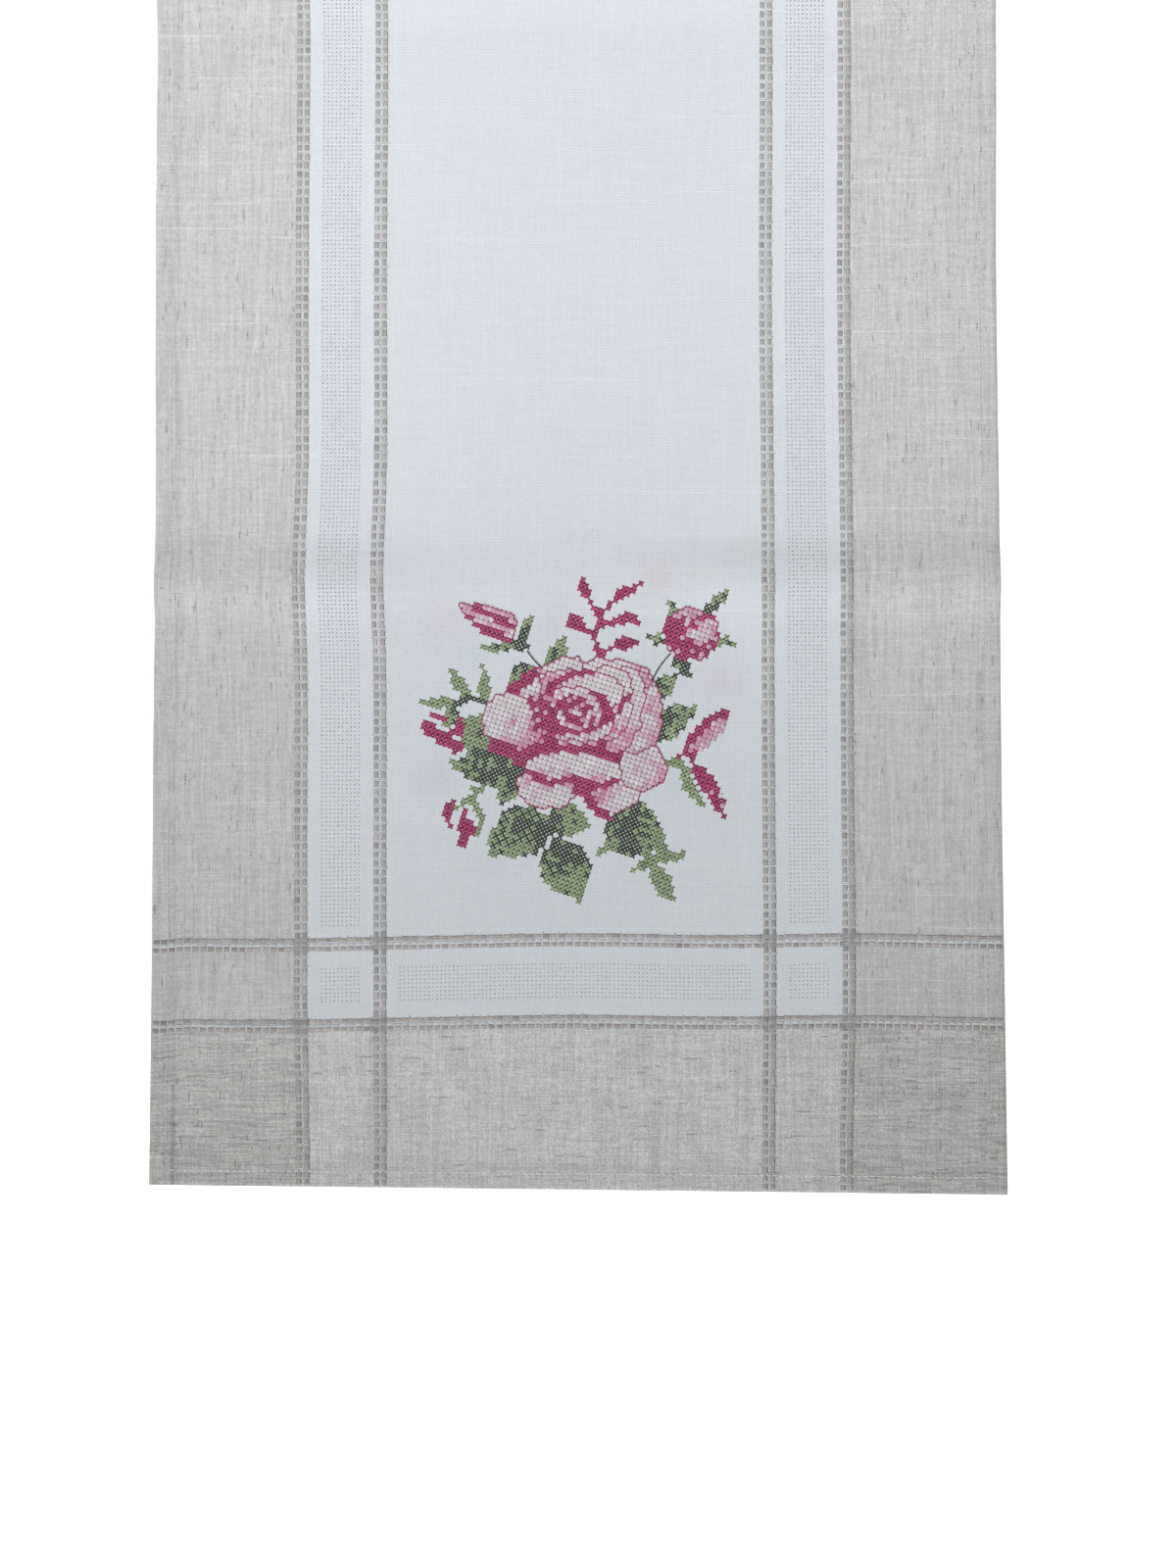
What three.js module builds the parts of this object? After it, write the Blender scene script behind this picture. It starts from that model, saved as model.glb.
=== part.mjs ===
// An embroidered table runner, lying face up on a table: one woven cloth with its hem turned in all round.
// Millimetres. X runs across the runner, +Y along it to the far end, +Z up from the table.

import * as THREE from 'three';

// Driving dimensions of the cloth
const LENGTH = 1400;
const WIDTH = 400;
const CLOTH_THICKNESS = 1.2;

// The hem: three layers of cloth pressed flat, with a short slope down to the single layer
const HEM_WIDTH = 11.4;
const HEM_THICKNESS = 2.0;
const HEM_SLOPE = 0.8;

// How far the real outline strays from a true rectangle
const WAIST = 6.4; // each long side is drawn in this much at mid length
const SIDE_SHIFT = 1.5; // the near end lies this much to the right, and the far end to the left
const END_SLANT = 4.6; // one corner of each end is this much shorter than the other
const END_FADE = 16; // power of the distance along the runner by which that slant fades from the ends
const SIDE_WAVE = { height: 0.5, length: 230 }; // slow ripple along the long sides

// The packed runner was folded in five, and each fold line still stands up as a soft ridge.
// at: the fold's place along Y. height: the rise of its crest.
// farReach, nearReach: the run-out of each flank, towards the far end and the near end.
// slant: how much further along Y its right end lies than its middle. slack: share of height lost mid width.
const FOLDS = [
  { at: -418, height: 4.2, farReach: 26, nearReach: 18, slant: 0.5, slack: 0.8 },
  { at: -140, height: 2.0, farReach: 20, nearReach: 24, slant: 2.0, slack: 0.25 },
  { at: 140, height: 2.0, farReach: 24, nearReach: 20, slant: 2.0, slack: 0.25 },
  { at: 418, height: 4.2, farReach: 18, nearReach: 26, slant: 0.5, slack: 0.8 },
];

// How finely the surface is divided
const FLANK_STEPS = 5; // rows on each flank of a fold
const PANEL_STEPS = 3; // rows on the flat cloth between two folds
const FIELD_COLUMNS = 13; // columns between the two side hems
const LAYERS = 1; // one division through the cloth

const halfLength = LENGTH / 2;
const halfWidth = WIDTH / 2;

// Evenly spaced numbers from one end to the other, both ends included
function spaced(from, to, steps) {
  return Array.from({ length: steps + 1 }, (_, step) => from + ((to - from) * step) / steps);
}

// The lines that the hem needs at both edges of a span: the edge, the hem's inner edge and its slope's foot
function hemLines(half) {
  const lines = [half, half - HEM_WIDTH, half - HEM_WIDTH - HEM_SLOPE];
  return [...lines.map((line) => -line), ...lines];
}

// Rows of the surface, as nominal places along Y
function rowLines() {
  const rows = new Set(hemLines(halfLength));
  let panelStart = -halfLength + HEM_WIDTH + HEM_SLOPE;
  for (const fold of FOLDS) {
    const start = fold.at - fold.nearReach;
    const end = fold.at + fold.farReach;
    spaced(panelStart, start, PANEL_STEPS).forEach((row) => rows.add(row));
    spaced(start, fold.at, FLANK_STEPS).forEach((row) => rows.add(row));
    spaced(fold.at, end, FLANK_STEPS).forEach((row) => rows.add(row));
    panelStart = end;
  }
  const lastStart = halfLength - HEM_WIDTH - HEM_SLOPE;
  spaced(panelStart, lastStart, PANEL_STEPS).forEach((row) => rows.add(row));
  return [...rows].sort((a, b) => a - b);
}

// Columns of the surface, as nominal places along X
function columnLines() {
  const field = halfWidth - HEM_WIDTH - HEM_SLOPE;
  const columns = new Set([...hemLines(halfWidth), ...spaced(-field, field, FIELD_COLUMNS)]);
  return [...columns].sort((a, b) => a - b);
}

// Where a nominal point of the cloth really lies, seen from above
function laidOut(x, y) {
  const along = y / halfLength;
  const across = x / halfWidth;
  const drawnIn = SIDE_SHIFT + (WAIST - SIDE_SHIFT) * (1 - along * along);
  const wave = SIDE_WAVE.height * Math.sin((2 * Math.PI * y) / SIDE_WAVE.length) * (1 - Math.abs(along));
  const slant = (END_SLANT / 2) * (Math.sign(along) + across) * along ** END_FADE;
  return {
    x: across * (halfWidth - drawnIn) - SIDE_SHIFT * along + wave,
    y: y - slant,
  };
}

// How far down a fold's flank a row lies: 0 on the crest, 1 at the flank's foot and beyond
function downFlank(fold, y) {
  const away = y - fold.at;
  const reach = away > 0 ? fold.farReach : fold.nearReach;
  return Math.min(Math.abs(away) / reach, 1);
}

// Height of the cloth's underside: a cosine ridge over each fold line, none on the flat panels
function lift(x, y) {
  const across = x / halfWidth;
  return FOLDS.reduce((height, fold) => {
    const crest = fold.height * (1 - fold.slack * (1 - across * across));
    return height + (crest * (1 + Math.cos(Math.PI * downFlank(fold, y)))) / 2;
  }, 0);
}

// How far a row is shifted along Y where its fold runs at a slant, fading out down the fold's flanks
function foldSlant(x, y) {
  const across = x / halfWidth;
  return FOLDS.reduce((shift, fold) => shift + fold.slant * across * (1 - downFlank(fold, y)), 0);
}

// Thickness of the cloth: the hem's folded layers round the edge, and one layer inside
function thickness(x, y) {
  const fromEdge = Math.min(halfWidth - Math.abs(x), halfLength - Math.abs(y));
  return fromEdge > HEM_WIDTH + HEM_SLOPE / 2 ? CLOTH_THICKNESS : HEM_THICKNESS;
}

// The whole runner: a box divided into rows and columns, with every point moved to where the cloth lies
function runnerGeometry() {
  const columns = columnLines();
  const rows = rowLines();
  const lastColumn = columns.length - 1;
  const lastRow = rows.length - 1;
  const geometry = new THREE.BoxGeometry(lastColumn, lastRow, LAYERS, lastColumn, lastRow, LAYERS);
  const points = geometry.getAttribute('position');
  for (let index = 0; index < points.count; index += 1) {
    const x = columns[Math.round(points.getX(index) + lastColumn / 2)];
    const y = rows[Math.round(points.getY(index) + lastRow / 2)];
    const place = laidOut(x, y + foldSlant(x, y));
    const under = lift(x, y);
    const isTop = points.getZ(index) > 0;
    points.setXYZ(index, place.x, place.y, isTop ? under + thickness(x, y) : under);
  }
  geometry.computeVertexNormals();
  return geometry;
}

const cloth = new THREE.MeshStandardMaterial({ color: 0xd2d6da, roughness: 0.9, metalness: 0 });

const runner = new THREE.Mesh(runnerGeometry(), cloth);
runner.name = 'runner';

const part = new THREE.Group();
part.add(runner);

export default part;
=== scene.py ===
"""Looks of an embroidered table runner: woven cloth, openwork, ladder stripes, hem seam and cross stitch.

Every piece is worked out on the cloth spread flat, in metres, with x across the runner, y along it and the
origin at its centre. LyingCloth then carries each point to where the cloth lies, so that stripes, holes and
stitches all follow its folds and its outline.
"""

import logging
from collections.abc import Callable
from dataclasses import dataclass, field
from enum import IntEnum
from typing import NamedTuple

import bpy
import numpy as np
from bpy.types import Light, Material, Node, NodeTree, Object
from bpy.types import NodeSocket as Socket
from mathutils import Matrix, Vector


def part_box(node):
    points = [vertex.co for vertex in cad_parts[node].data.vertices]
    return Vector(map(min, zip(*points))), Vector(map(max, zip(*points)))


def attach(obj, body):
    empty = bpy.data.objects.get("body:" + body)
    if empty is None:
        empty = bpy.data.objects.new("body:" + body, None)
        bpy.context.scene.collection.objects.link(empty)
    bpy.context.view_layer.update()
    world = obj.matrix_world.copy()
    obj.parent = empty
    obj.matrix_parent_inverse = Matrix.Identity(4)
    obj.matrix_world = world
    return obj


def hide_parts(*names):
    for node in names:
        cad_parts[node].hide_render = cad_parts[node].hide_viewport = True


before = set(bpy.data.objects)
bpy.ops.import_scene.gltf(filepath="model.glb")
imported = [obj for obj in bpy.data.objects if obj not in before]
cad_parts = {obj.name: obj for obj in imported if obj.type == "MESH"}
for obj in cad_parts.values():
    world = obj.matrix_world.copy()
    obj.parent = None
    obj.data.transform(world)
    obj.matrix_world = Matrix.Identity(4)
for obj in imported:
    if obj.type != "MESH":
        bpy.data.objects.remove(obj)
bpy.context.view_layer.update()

MM = 0.001
NODE = "runner"
BODY = "root"
CLOTH_UV = "cloth_place"
THREAD_UV = "thread_place"
TINT = "tint"
FACE_CORNERS = 4
PLACE_DIGITS = 7
NOISE_DETAIL = 1.0

# Numbers of the colour sockets of a Mix node, since its sockets of other kinds share their names
MIX_SHARE, MIX_FIRST, MIX_SECOND, MIX_RESULT = 0, 6, 7, 2

log = logging.getLogger("runner")

Array = np.ndarray
Surface = Callable[[Array, Array], Array]
Colour = tuple[float, ...]
Numbers = tuple[float, ...]
Range = tuple[float, float]
Points = tuple[tuple[float, float], ...]
Rectangle = tuple[float, float, float, float]


def drawing(seed: int) -> np.random.Generator:
    """Field of a dataclass that draws small unevenness from a seed of its own."""
    return field(default_factory=lambda: np.random.default_rng(seed))


class Fold(NamedTuple):
    """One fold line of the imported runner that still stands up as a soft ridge, in metres.

    at is its place along the runner, height the rise of its crest, far_reach and near_reach the run-out of
    its two flanks, slant how much further along its right end lies, slack the share of height lost mid width.
    """

    at: float
    height: float
    far_reach: float
    near_reach: float
    slant: float
    slack: float


class Crease(NamedTuple):
    """A short soft ridge beside a fold line, in metres.

    x and at are its place across and along the runner, far_reach and near_reach the run-out of its two
    flanks, and height the rise of its crest.
    """

    x: float
    at: float
    half_length: float
    far_reach: float
    near_reach: float
    height: float


class Pull(NamedTuple):
    """A place where the threads are drawn aside within the cloth: centre, reach and shift, in metres."""

    x: float
    y: float
    reach_x: float
    reach_y: float
    shift_x: float
    shift_y: float


@dataclass(frozen=True)
class LyingCloth:
    """How the cloth lies on the table: its outline, fold ridges, drawn threads and small ripples.

    end_fade is the power by which the slant of the ends fades out, and side_hold and end_hold are the powers
    by which the edges hold drawn threads in place.
    """

    half_width: float
    half_length: float
    waist: float = 6.4 * MM
    side_shift: float = 1.5 * MM
    end_slant: float = 4.6 * MM
    end_fade: int = 16
    wave_height: float = 0.5 * MM
    wave_length: float = 230 * MM
    ripple_height: float = 0.032 * MM
    ripple_count: int = 22
    ripple_short: float = 16 * MM
    ripple_long: float = 120 * MM
    ripple_seed: int = 11
    side_hold: int = 6
    end_hold: int = 24
    folds: tuple[Fold, ...] = (
        Fold(-418 * MM, 4.2 * MM, 26 * MM, 18 * MM, 0.5 * MM, 0.8),
        Fold(-140 * MM, 2.0 * MM, 20 * MM, 24 * MM, 2.0 * MM, 0.25),
        Fold(140 * MM, 2.0 * MM, 24 * MM, 20 * MM, 2.0 * MM, 0.25),
        Fold(418 * MM, 4.2 * MM, 18 * MM, 26 * MM, 0.5 * MM, 0.8),
    )
    creases: tuple[Crease, ...] = (
        Crease(78 * MM, -415.5 * MM, 36 * MM, 20 * MM, 45 * MM, 2.1 * MM),
        Crease(-113 * MM, -418 * MM, 24 * MM, 22 * MM, 32 * MM, 1.1 * MM),
        Crease(-78 * MM, 415.5 * MM, 36 * MM, 45 * MM, 20 * MM, 2.1 * MM),
        Crease(113 * MM, 418 * MM, 24 * MM, 32 * MM, 22 * MM, 1.1 * MM),
    )
    pulls: tuple[Pull, ...] = (
        Pull(-110 * MM, -412 * MM, 70 * MM, 38 * MM, -2.1 * MM, 0),
        Pull(-135 * MM, -690 * MM, 40 * MM, 55 * MM, 2.0 * MM, 0),
        Pull(130 * MM, -690 * MM, 50 * MM, 60 * MM, -2.6 * MM, 0),
        Pull(-150 * MM, -600 * MM, 62 * MM, 60 * MM, 0, -1.7 * MM),
        Pull(0, -602 * MM, 50 * MM, 60 * MM, 0, 1.2 * MM),
        Pull(130 * MM, -602 * MM, 46 * MM, 60 * MM, 0, 1.3 * MM),
        Pull(-197 * MM, -602 * MM, 9 * MM, 50 * MM, 0, -1.6 * MM),
        Pull(110 * MM, 405 * MM, 70 * MM, 38 * MM, 1.6 * MM, 0),
        Pull(135 * MM, 690 * MM, 45 * MM, 55 * MM, -2.0 * MM, 0),
        Pull(-130 * MM, 690 * MM, 45 * MM, 55 * MM, 2.0 * MM, 0),
        Pull(120 * MM, 600 * MM, 70 * MM, 60 * MM, 0, 1.3 * MM),
    )

    @staticmethod
    def down_flank(fold: Fold | Crease, y: Array) -> Array:
        """Place on the flank of a fold or crease: 0 on the crest, 1 at the flank's foot and beyond."""
        away = y - fold.at
        return np.minimum(np.abs(away) / np.where(away > 0, fold.far_reach, fold.near_reach), 1)

    def lift(self, x: Array, y: Array) -> Array:
        """Height of the cloth's underside: half a cosine wave down each flank of every fold and crease.

        Folds are lower at mid width, and creases fade as a bell along their length.

        Args:
            x: Places across the cloth.
            y: Places along the cloth.

        Returns:
            The heights.
        """
        across = x / self.half_width
        height = np.zeros(np.shape(x))
        for fold in self.folds:
            crest = fold.height * (1 - fold.slack * (1 - across**2))
            height = height + crest * (1 + np.cos(np.pi * self.down_flank(fold, y))) / 2
        for crease in self.creases:
            crest = crease.height * np.exp(-((x - crease.x) / crease.half_length) ** 2)
            height = height + crest * (1 + np.cos(np.pi * self.down_flank(crease, y))) / 2
        return height

    def fold_shift(self, x: Array, y: Array) -> Array:
        """Shift along the runner where a fold runs at a slant, fading out down its flanks."""
        across = x / self.half_width
        return sum(fold.slant * across * (1 - self.down_flank(fold, y)) for fold in self.folds)

    def ripple(self, x: Array, y: Array) -> Array:
        """Small unevenness of the cloth: a sum of sine waves of drawn length, direction and phase.

        Shorter waves are lower, in step with the root of their length, and the sum is never below zero.

        Args:
            x: Places across the cloth.
            y: Places along the cloth.

        Returns:
            The heights.
        """
        draw = np.random.default_rng(self.ripple_seed)
        length = np.geomspace(self.ripple_short, self.ripple_long, self.ripple_count)
        heading = draw.uniform(0, np.pi, self.ripple_count)
        phase = draw.uniform(0, 2 * np.pi, self.ripple_count)
        height = self.ripple_height * np.sqrt(length / self.ripple_long)
        total = np.full(np.shape(x), height.sum())
        for size, turn, start, rise in zip(length, heading, phase, height):
            way = x * np.cos(turn) + y * np.sin(turn)
            total = total + rise * np.sin(2 * np.pi * way / size + start)
        return total

    def drawn(self, x: Array, y: Array) -> tuple[Array, Array]:
        """Places with the threads drawn aside: a bell-shaped shift round each pull, none at the edges.

        Args:
            x: Places across the cloth.
            y: Places along the cloth.

        Returns:
            The new places across and along.
        """
        inside_x = 1 - np.abs(x / self.half_width) ** self.side_hold
        inside_y = 1 - np.abs(y / self.half_length) ** self.end_hold
        moved_x, moved_y = x, y
        for pull in self.pulls:
            bell = np.exp(-((x - pull.x) / pull.reach_x) ** 2 - ((y - pull.y) / pull.reach_y) ** 2)
            moved_x = moved_x + pull.shift_x * bell * inside_x
            moved_y = moved_y + pull.shift_y * bell * inside_y
        return moved_x, moved_y

    def place(self, x: Array, y: Array, height: Array) -> Array:
        """Carry points of the flat cloth to where they lie.

        Args:
            x: Places across the cloth.
            y: Places along the cloth.
            height: Heights above the underside of the cloth.

        Returns:
            An array of points, one row each.
        """
        x, y = self.drawn(x, y)
        row = y + self.fold_shift(x, y)
        along = row / self.half_length
        across = x / self.half_width
        drawn_in = self.side_shift + (self.waist - self.side_shift) * (1 - along**2)
        wave = self.wave_height * np.sin(2 * np.pi * row / self.wave_length) * (1 - np.abs(along))
        slant = self.end_slant / 2 * (np.sign(along) + across) * np.abs(along) ** self.end_fade
        placed_x = across * (self.half_width - drawn_in) - self.side_shift * along + wave
        placed_z = self.lift(x, y) + self.ripple(x, y) + height
        return np.stack([placed_x, row - slant, placed_z], axis=-1)


@dataclass(frozen=True)
class BandLayout:
    """Where the woven bands lie on the flat cloth, measured from its centre lines."""

    hem: float = 11.4 * MM
    middle: float = -1.3 * MM
    outer_stripe: float = 128.7 * MM
    inner_stripe: float = 91.5 * MM
    end_stripe: float = 621.1 * MM
    inner_end_stripe: float = 583.3 * MM
    net_side: float = 110.1 * MM
    net_end: float = 602.2 * MM
    net_columns: int = 10
    net_rows: int = 9
    end_net_columns: int = 86
    side_net_rows: int = 609
    hole_across: float = 1.93 * MM
    hole_along: float = 1.89 * MM
    spray_x: float = 0.6 * MM
    spray_y: float = -490.2 * MM


@dataclass(frozen=True)
class Layers:
    """Heights above the cloth's underside of what lies in and on the cloth."""

    under: float = 0.12 * MM
    cloth: float = 0.95 * MM
    hem_rise: float = 0.42 * MM
    edge_drop: float = 0.75 * MM
    net: float = 0.93 * MM
    net_edge: float = 0.90 * MM
    net_under: float = 0.14 * MM


@dataclass
class MeshParts:
    """Points on the flat cloth, four-cornered faces and marks of a mesh that is still to be made."""

    flat: Array
    faces: Array
    uv: Array
    colour: Array

    @staticmethod
    def joined(parts: list["MeshParts"]) -> "MeshParts":
        """Join several meshes into one.

        Args:
            parts: The meshes, in order.

        Returns:
            The joined mesh.
        """
        starts = np.cumsum([0] + [len(part.flat) for part in parts[:-1]])
        return MeshParts(
            np.concatenate([part.flat for part in parts]),
            np.concatenate([part.faces + start for part, start in zip(parts, starts)]),
            np.concatenate([part.uv for part in parts]),
            np.concatenate([part.colour for part in parts]),
        )


@dataclass(frozen=True)
class Maker:
    """Carries finished meshes onto the lying cloth, puts them into the scene and ties each to the frame."""

    cloth: LyingCloth
    sharp_angle: float = np.radians(50)

    def piece(self, name: str, parts: MeshParts, uv_name: str, material: Material, slot: str) -> Object:
        """Make one piece from its flat parts.

        Args:
            name: The piece's name.
            parts: Its points on the flat cloth, faces and marks.
            uv_name: Name of the UV map that holds the marks.
            material: Its finish.
            slot: The record's material slot; not used.

        Returns:
            The new object, riding on the runner.
        """
        points = self.cloth.place(*parts.flat.T)
        mesh = bpy.data.meshes.new(name)
        mesh.vertices.add(len(points))
        mesh.vertices.foreach_set("co", points.astype(np.float32).ravel())
        corners = parts.faces.ravel().astype(np.int32)
        mesh.loops.add(len(corners))
        mesh.loops.foreach_set("vertex_index", corners)
        mesh.polygons.add(len(parts.faces))
        mesh.polygons.foreach_set("loop_start", np.arange(0, len(corners), FACE_CORNERS, dtype=np.int32))
        mesh.polygons.foreach_set("loop_total", np.full(len(parts.faces), FACE_CORNERS, dtype=np.int32))
        mesh.polygons.foreach_set("use_smooth", np.ones(len(parts.faces), dtype=bool))
        layer = mesh.uv_layers.new(name=uv_name)
        layer.data.foreach_set("uv", parts.uv[corners].astype(np.float32).ravel())
        tint = mesh.color_attributes.new(name=TINT, type="FLOAT_COLOR", domain="POINT")
        opaque = np.concatenate([parts.colour, np.ones((len(parts.colour), 1))], axis=1)
        tint.data.foreach_set("color", opaque.astype(np.float32).ravel())
        mesh.update(calc_edges=True)
        mesh.validate()
        if uv_name == CLOTH_UV:
            mesh.set_sharp_from_angle(angle=self.sharp_angle)
        piece = bpy.data.objects.new(name, mesh)
        bpy.context.scene.collection.objects.link(piece)
        mesh.materials.append(material)
        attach(piece, BODY)
        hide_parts(NODE)
        log.info("%s: %d faces", name, len(parts.faces))
        return piece


@dataclass(frozen=True)
class NodeBoard:
    """Adds and joins the nodes of one shader tree."""

    tree: NodeTree

    def add(self, kind: str, sockets: dict | None = None, **settings: object) -> Node:
        """Add a node and fill its sockets.

        Args:
            kind: The node's type.
            sockets: Values or other sockets, by the name or number of the socket that takes each.
            settings: Settings of the node itself.

        Returns:
            The node.
        """
        node = self.tree.nodes.new(kind)
        for name, value in settings.items():
            setattr(node, name, value)
        for name, value in (sockets or {}).items():
            self.feed(node.inputs[name], value)
        return node

    def feed(self, socket: Socket, value: object) -> None:
        """Join a socket to another socket, or set it to a plain value.

        Args:
            socket: The socket that takes the value.
            value: Another socket, or a number, colour or vector.
        """
        if isinstance(value, Socket):
            self.tree.links.new(value, socket)
        else:
            socket.default_value = value

    def math(self, operation: str, *values: object) -> Socket:
        """Result of one arithmetic step."""
        node = self.add("ShaderNodeMath", dict(enumerate(values)), operation=operation)
        return node.outputs[0]

    def ramp(self, value: object, low: float, high: float, out_low: float = 0.0,
             out_high: float = 1.0) -> Socket:
        """Smooth step of a value from one range to another."""
        sockets = {"Value": value, "From Min": low, "From Max": high, "To Min": out_low, "To Max": out_high}
        return self.add("ShaderNodeMapRange", sockets, interpolation_type="SMOOTHSTEP").outputs["Result"]

    def mix(self, share: object, first: object, second: object, blend: str = "MIX") -> Socket:
        """Blend of two colours, with a given share of the second."""
        sockets = {MIX_SHARE: share, MIX_FIRST: first, MIX_SECOND: second}
        return self.add("ShaderNodeMix", sockets, data_type="RGBA", blend_type=blend).outputs[MIX_RESULT]

    def vector(self, x: object, y: object, z: object = 0.0) -> Socket:
        """Vector of three values."""
        return self.add("ShaderNodeCombineXYZ", {"X": x, "Y": y, "Z": z}).outputs[0]

    def noise(self, vector: Socket, scale: float) -> Socket:
        """Value of a plain noise texture."""
        sockets = {"Vector": vector, "Scale": scale, "Detail": NOISE_DETAIL}
        return self.add("ShaderNodeTexNoise", sockets).outputs["Fac"]

    def drawn(self, vector: Socket) -> Socket:
        """Number between 0 and 1 drawn anew for every different vector."""
        return self.add("ShaderNodeTexWhiteNoise", {"Vector": vector}, noise_dimensions="3D").outputs["Value"]


def start_group(name: str, inputs: dict[str, float],
                outputs: tuple[str, ...]) -> tuple[NodeBoard, Node, Node]:
    """Begin a shader node group of plain values.

    Args:
        name: The group's name.
        inputs: Names and first values of its inputs.
        outputs: Names of its outputs.

    Returns:
        The board on which the group's nodes are added, and the nodes of its inputs and outputs.
    """
    group = bpy.data.node_groups.new(name, "ShaderNodeTree")
    for label, value in inputs.items():
        socket = group.interface.new_socket(name=label, in_out="INPUT", socket_type="NodeSocketFloat")
        socket.default_value = value
    for label in outputs:
        group.interface.new_socket(name=label, in_out="OUTPUT", socket_type="NodeSocketFloat")
    board = NodeBoard(group)
    return board, board.add("NodeGroupInput"), board.add("NodeGroupOutput")


def start_material(name: str) -> tuple[Material, NodeBoard, Node]:
    """Begin a material.

    Args:
        name: Its name.

    Returns:
        The material, the board on which its nodes are added, and its shader.
    """
    material = bpy.data.materials.new(name)
    material.use_nodes = True
    return material, NodeBoard(material.node_tree), material.node_tree.nodes["Principled BSDF"]


@dataclass
class SharedEffects:
    """Shader node groups that more than one finish uses, and the numbers that shape them.

    crown_power rounds the crowns of the weave, and top_wave and top_range say how softly one thread gives way
    to the other. Flecks and slubs are the stretches drawn above fleck_rarity and slub_rarity, tapered over
    taper_reach. fibre_stretch and fibre_scale give the loose fibres of a thread.
    """

    crown_power: float = 0.6
    top_wave: float = 0.8
    top_range: Range = (0.28, 0.72)
    fleck_rarity: float = 0.965
    slub_rarity: float = 0.955
    taper_reach: float = 0.2
    start_key: Range = (0.5, 7.0)
    fibre_stretch: float = 6.0
    fibre_scale: float = 4500.0
    weave: NodeTree = field(init=False)
    yarn: NodeTree = field(init=False)
    twist: NodeTree = field(init=False)

    def __post_init__(self) -> None:
        """Build each group once."""
        self.weave = self.plain_weave()
        self.yarn = self.uneven_yarn()
        self.twist = self.thread_twist()

    def plain_weave(self) -> NodeTree:
        """Plain weave: the product of two sine waves, one across the warp and one across the weft.

        Its size is the crown of the thread on top, zero in the gaps, and its sign says which thread that is.
        Every crossing has a drawn grain of its own.

        Returns:
            The group.
        """
        outputs = ("Crown", "Warp On Top", "Grain")
        board, enter, leave = start_group("plain weave", {"Across": 0, "Along": 0, "Pitch": 1}, outputs)
        waves, numbers = [], []
        for label in ("Across", "Along"):
            turns = board.math("DIVIDE", enter.outputs[label], enter.outputs["Pitch"])
            waves.append(board.math("SINE", board.math("MULTIPLY", turns, np.pi)))
            numbers.append(board.math("FLOOR", turns))
        product = board.math("MULTIPLY", *waves)
        crown = board.math("POWER", board.math("ABSOLUTE", product), self.crown_power)
        board.feed(leave.inputs["Crown"], crown)
        on_top = board.ramp(product, -self.top_wave, self.top_wave, *self.top_range)
        board.feed(leave.inputs["Warp On Top"], on_top)
        board.feed(leave.inputs["Grain"], board.drawn(board.vector(*numbers)))
        return board.tree

    def uneven_yarn(self) -> NodeTree:
        """Unevenness of spun yarn: every thread is cut into stretches, each with a drawn number.

        Stretches of one length have a drawn tone, a few of another are dark flecks, and a few of a third are
        white slubs, both tapered to their ends. Each thread draws the length and the start of its stretches.

        Returns:
            The group.
        """
        inputs = {"Across": 0, "Along": 0, "Thread": 0.7 * MM}
        inputs |= {"Tone": 20 * MM, "Fleck": 5 * MM, "Slub": 36 * MM}
        board, enter, leave = start_group("uneven yarn", inputs, ("Tone", "Fleck", "Slub"))
        number = board.math("FLOOR", board.math("DIVIDE", enter.outputs["Across"], enter.outputs["Thread"]))
        start = board.drawn(board.vector(number, *self.start_key))
        longer = board.math("MULTIPLY_ADD", start, 1.0, 0.5)
        kinds = (("Tone", None), ("Fleck", self.fleck_rarity), ("Slub", self.slub_rarity))
        for depth, (label, rarity) in enumerate(kinds):
            length = board.math("MULTIPLY", enter.outputs[label], longer)
            way = board.math("ADD", board.math("DIVIDE", enter.outputs["Along"], length), start)
            drawn = board.drawn(board.vector(number, board.math("FLOOR", way), float(depth)))
            if rarity is not None:
                share = board.math("FRACT", way)
                taper = board.math("MULTIPLY", share, board.math("SUBTRACT", 1.0, share))
                chosen = board.ramp(drawn, rarity, 1.0)
                drawn = board.math("MULTIPLY", chosen, board.ramp(taper, 0.0, self.taper_reach))
            board.feed(leave.inputs[label], drawn)
        return board.tree

    def thread_twist(self) -> NodeTree:
        """Twist of a plied thread: slanted sine ridges across it, with fine noise for loose fibres.

        Returns:
            The group.
        """
        inputs = {"Along": 0, "Across": 0, "Turn": 0.6 * MM, "Lead": 1.0, "Slope": 0.8}
        board, enter, leave = start_group("thread twist", inputs, ("Ridge", "Fibre"))
        lean = board.math("MULTIPLY", enter.outputs["Across"], enter.outputs["Slope"])
        ahead = board.math("MULTIPLY", enter.outputs["Along"], enter.outputs["Lead"])
        way = board.math("DIVIDE", board.math("ADD", ahead, lean), enter.outputs["Turn"])
        wave = board.math("SINE", board.math("MULTIPLY", way, 2 * np.pi))
        board.feed(leave.inputs["Ridge"], board.math("MULTIPLY_ADD", wave, 0.5, 0.5))
        aside = board.math("MULTIPLY", enter.outputs["Across"], self.fibre_stretch)
        place = board.vector(enter.outputs["Along"], aside)
        board.feed(leave.inputs["Fibre"], board.noise(place, self.fibre_scale))
        return board.tree


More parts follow.
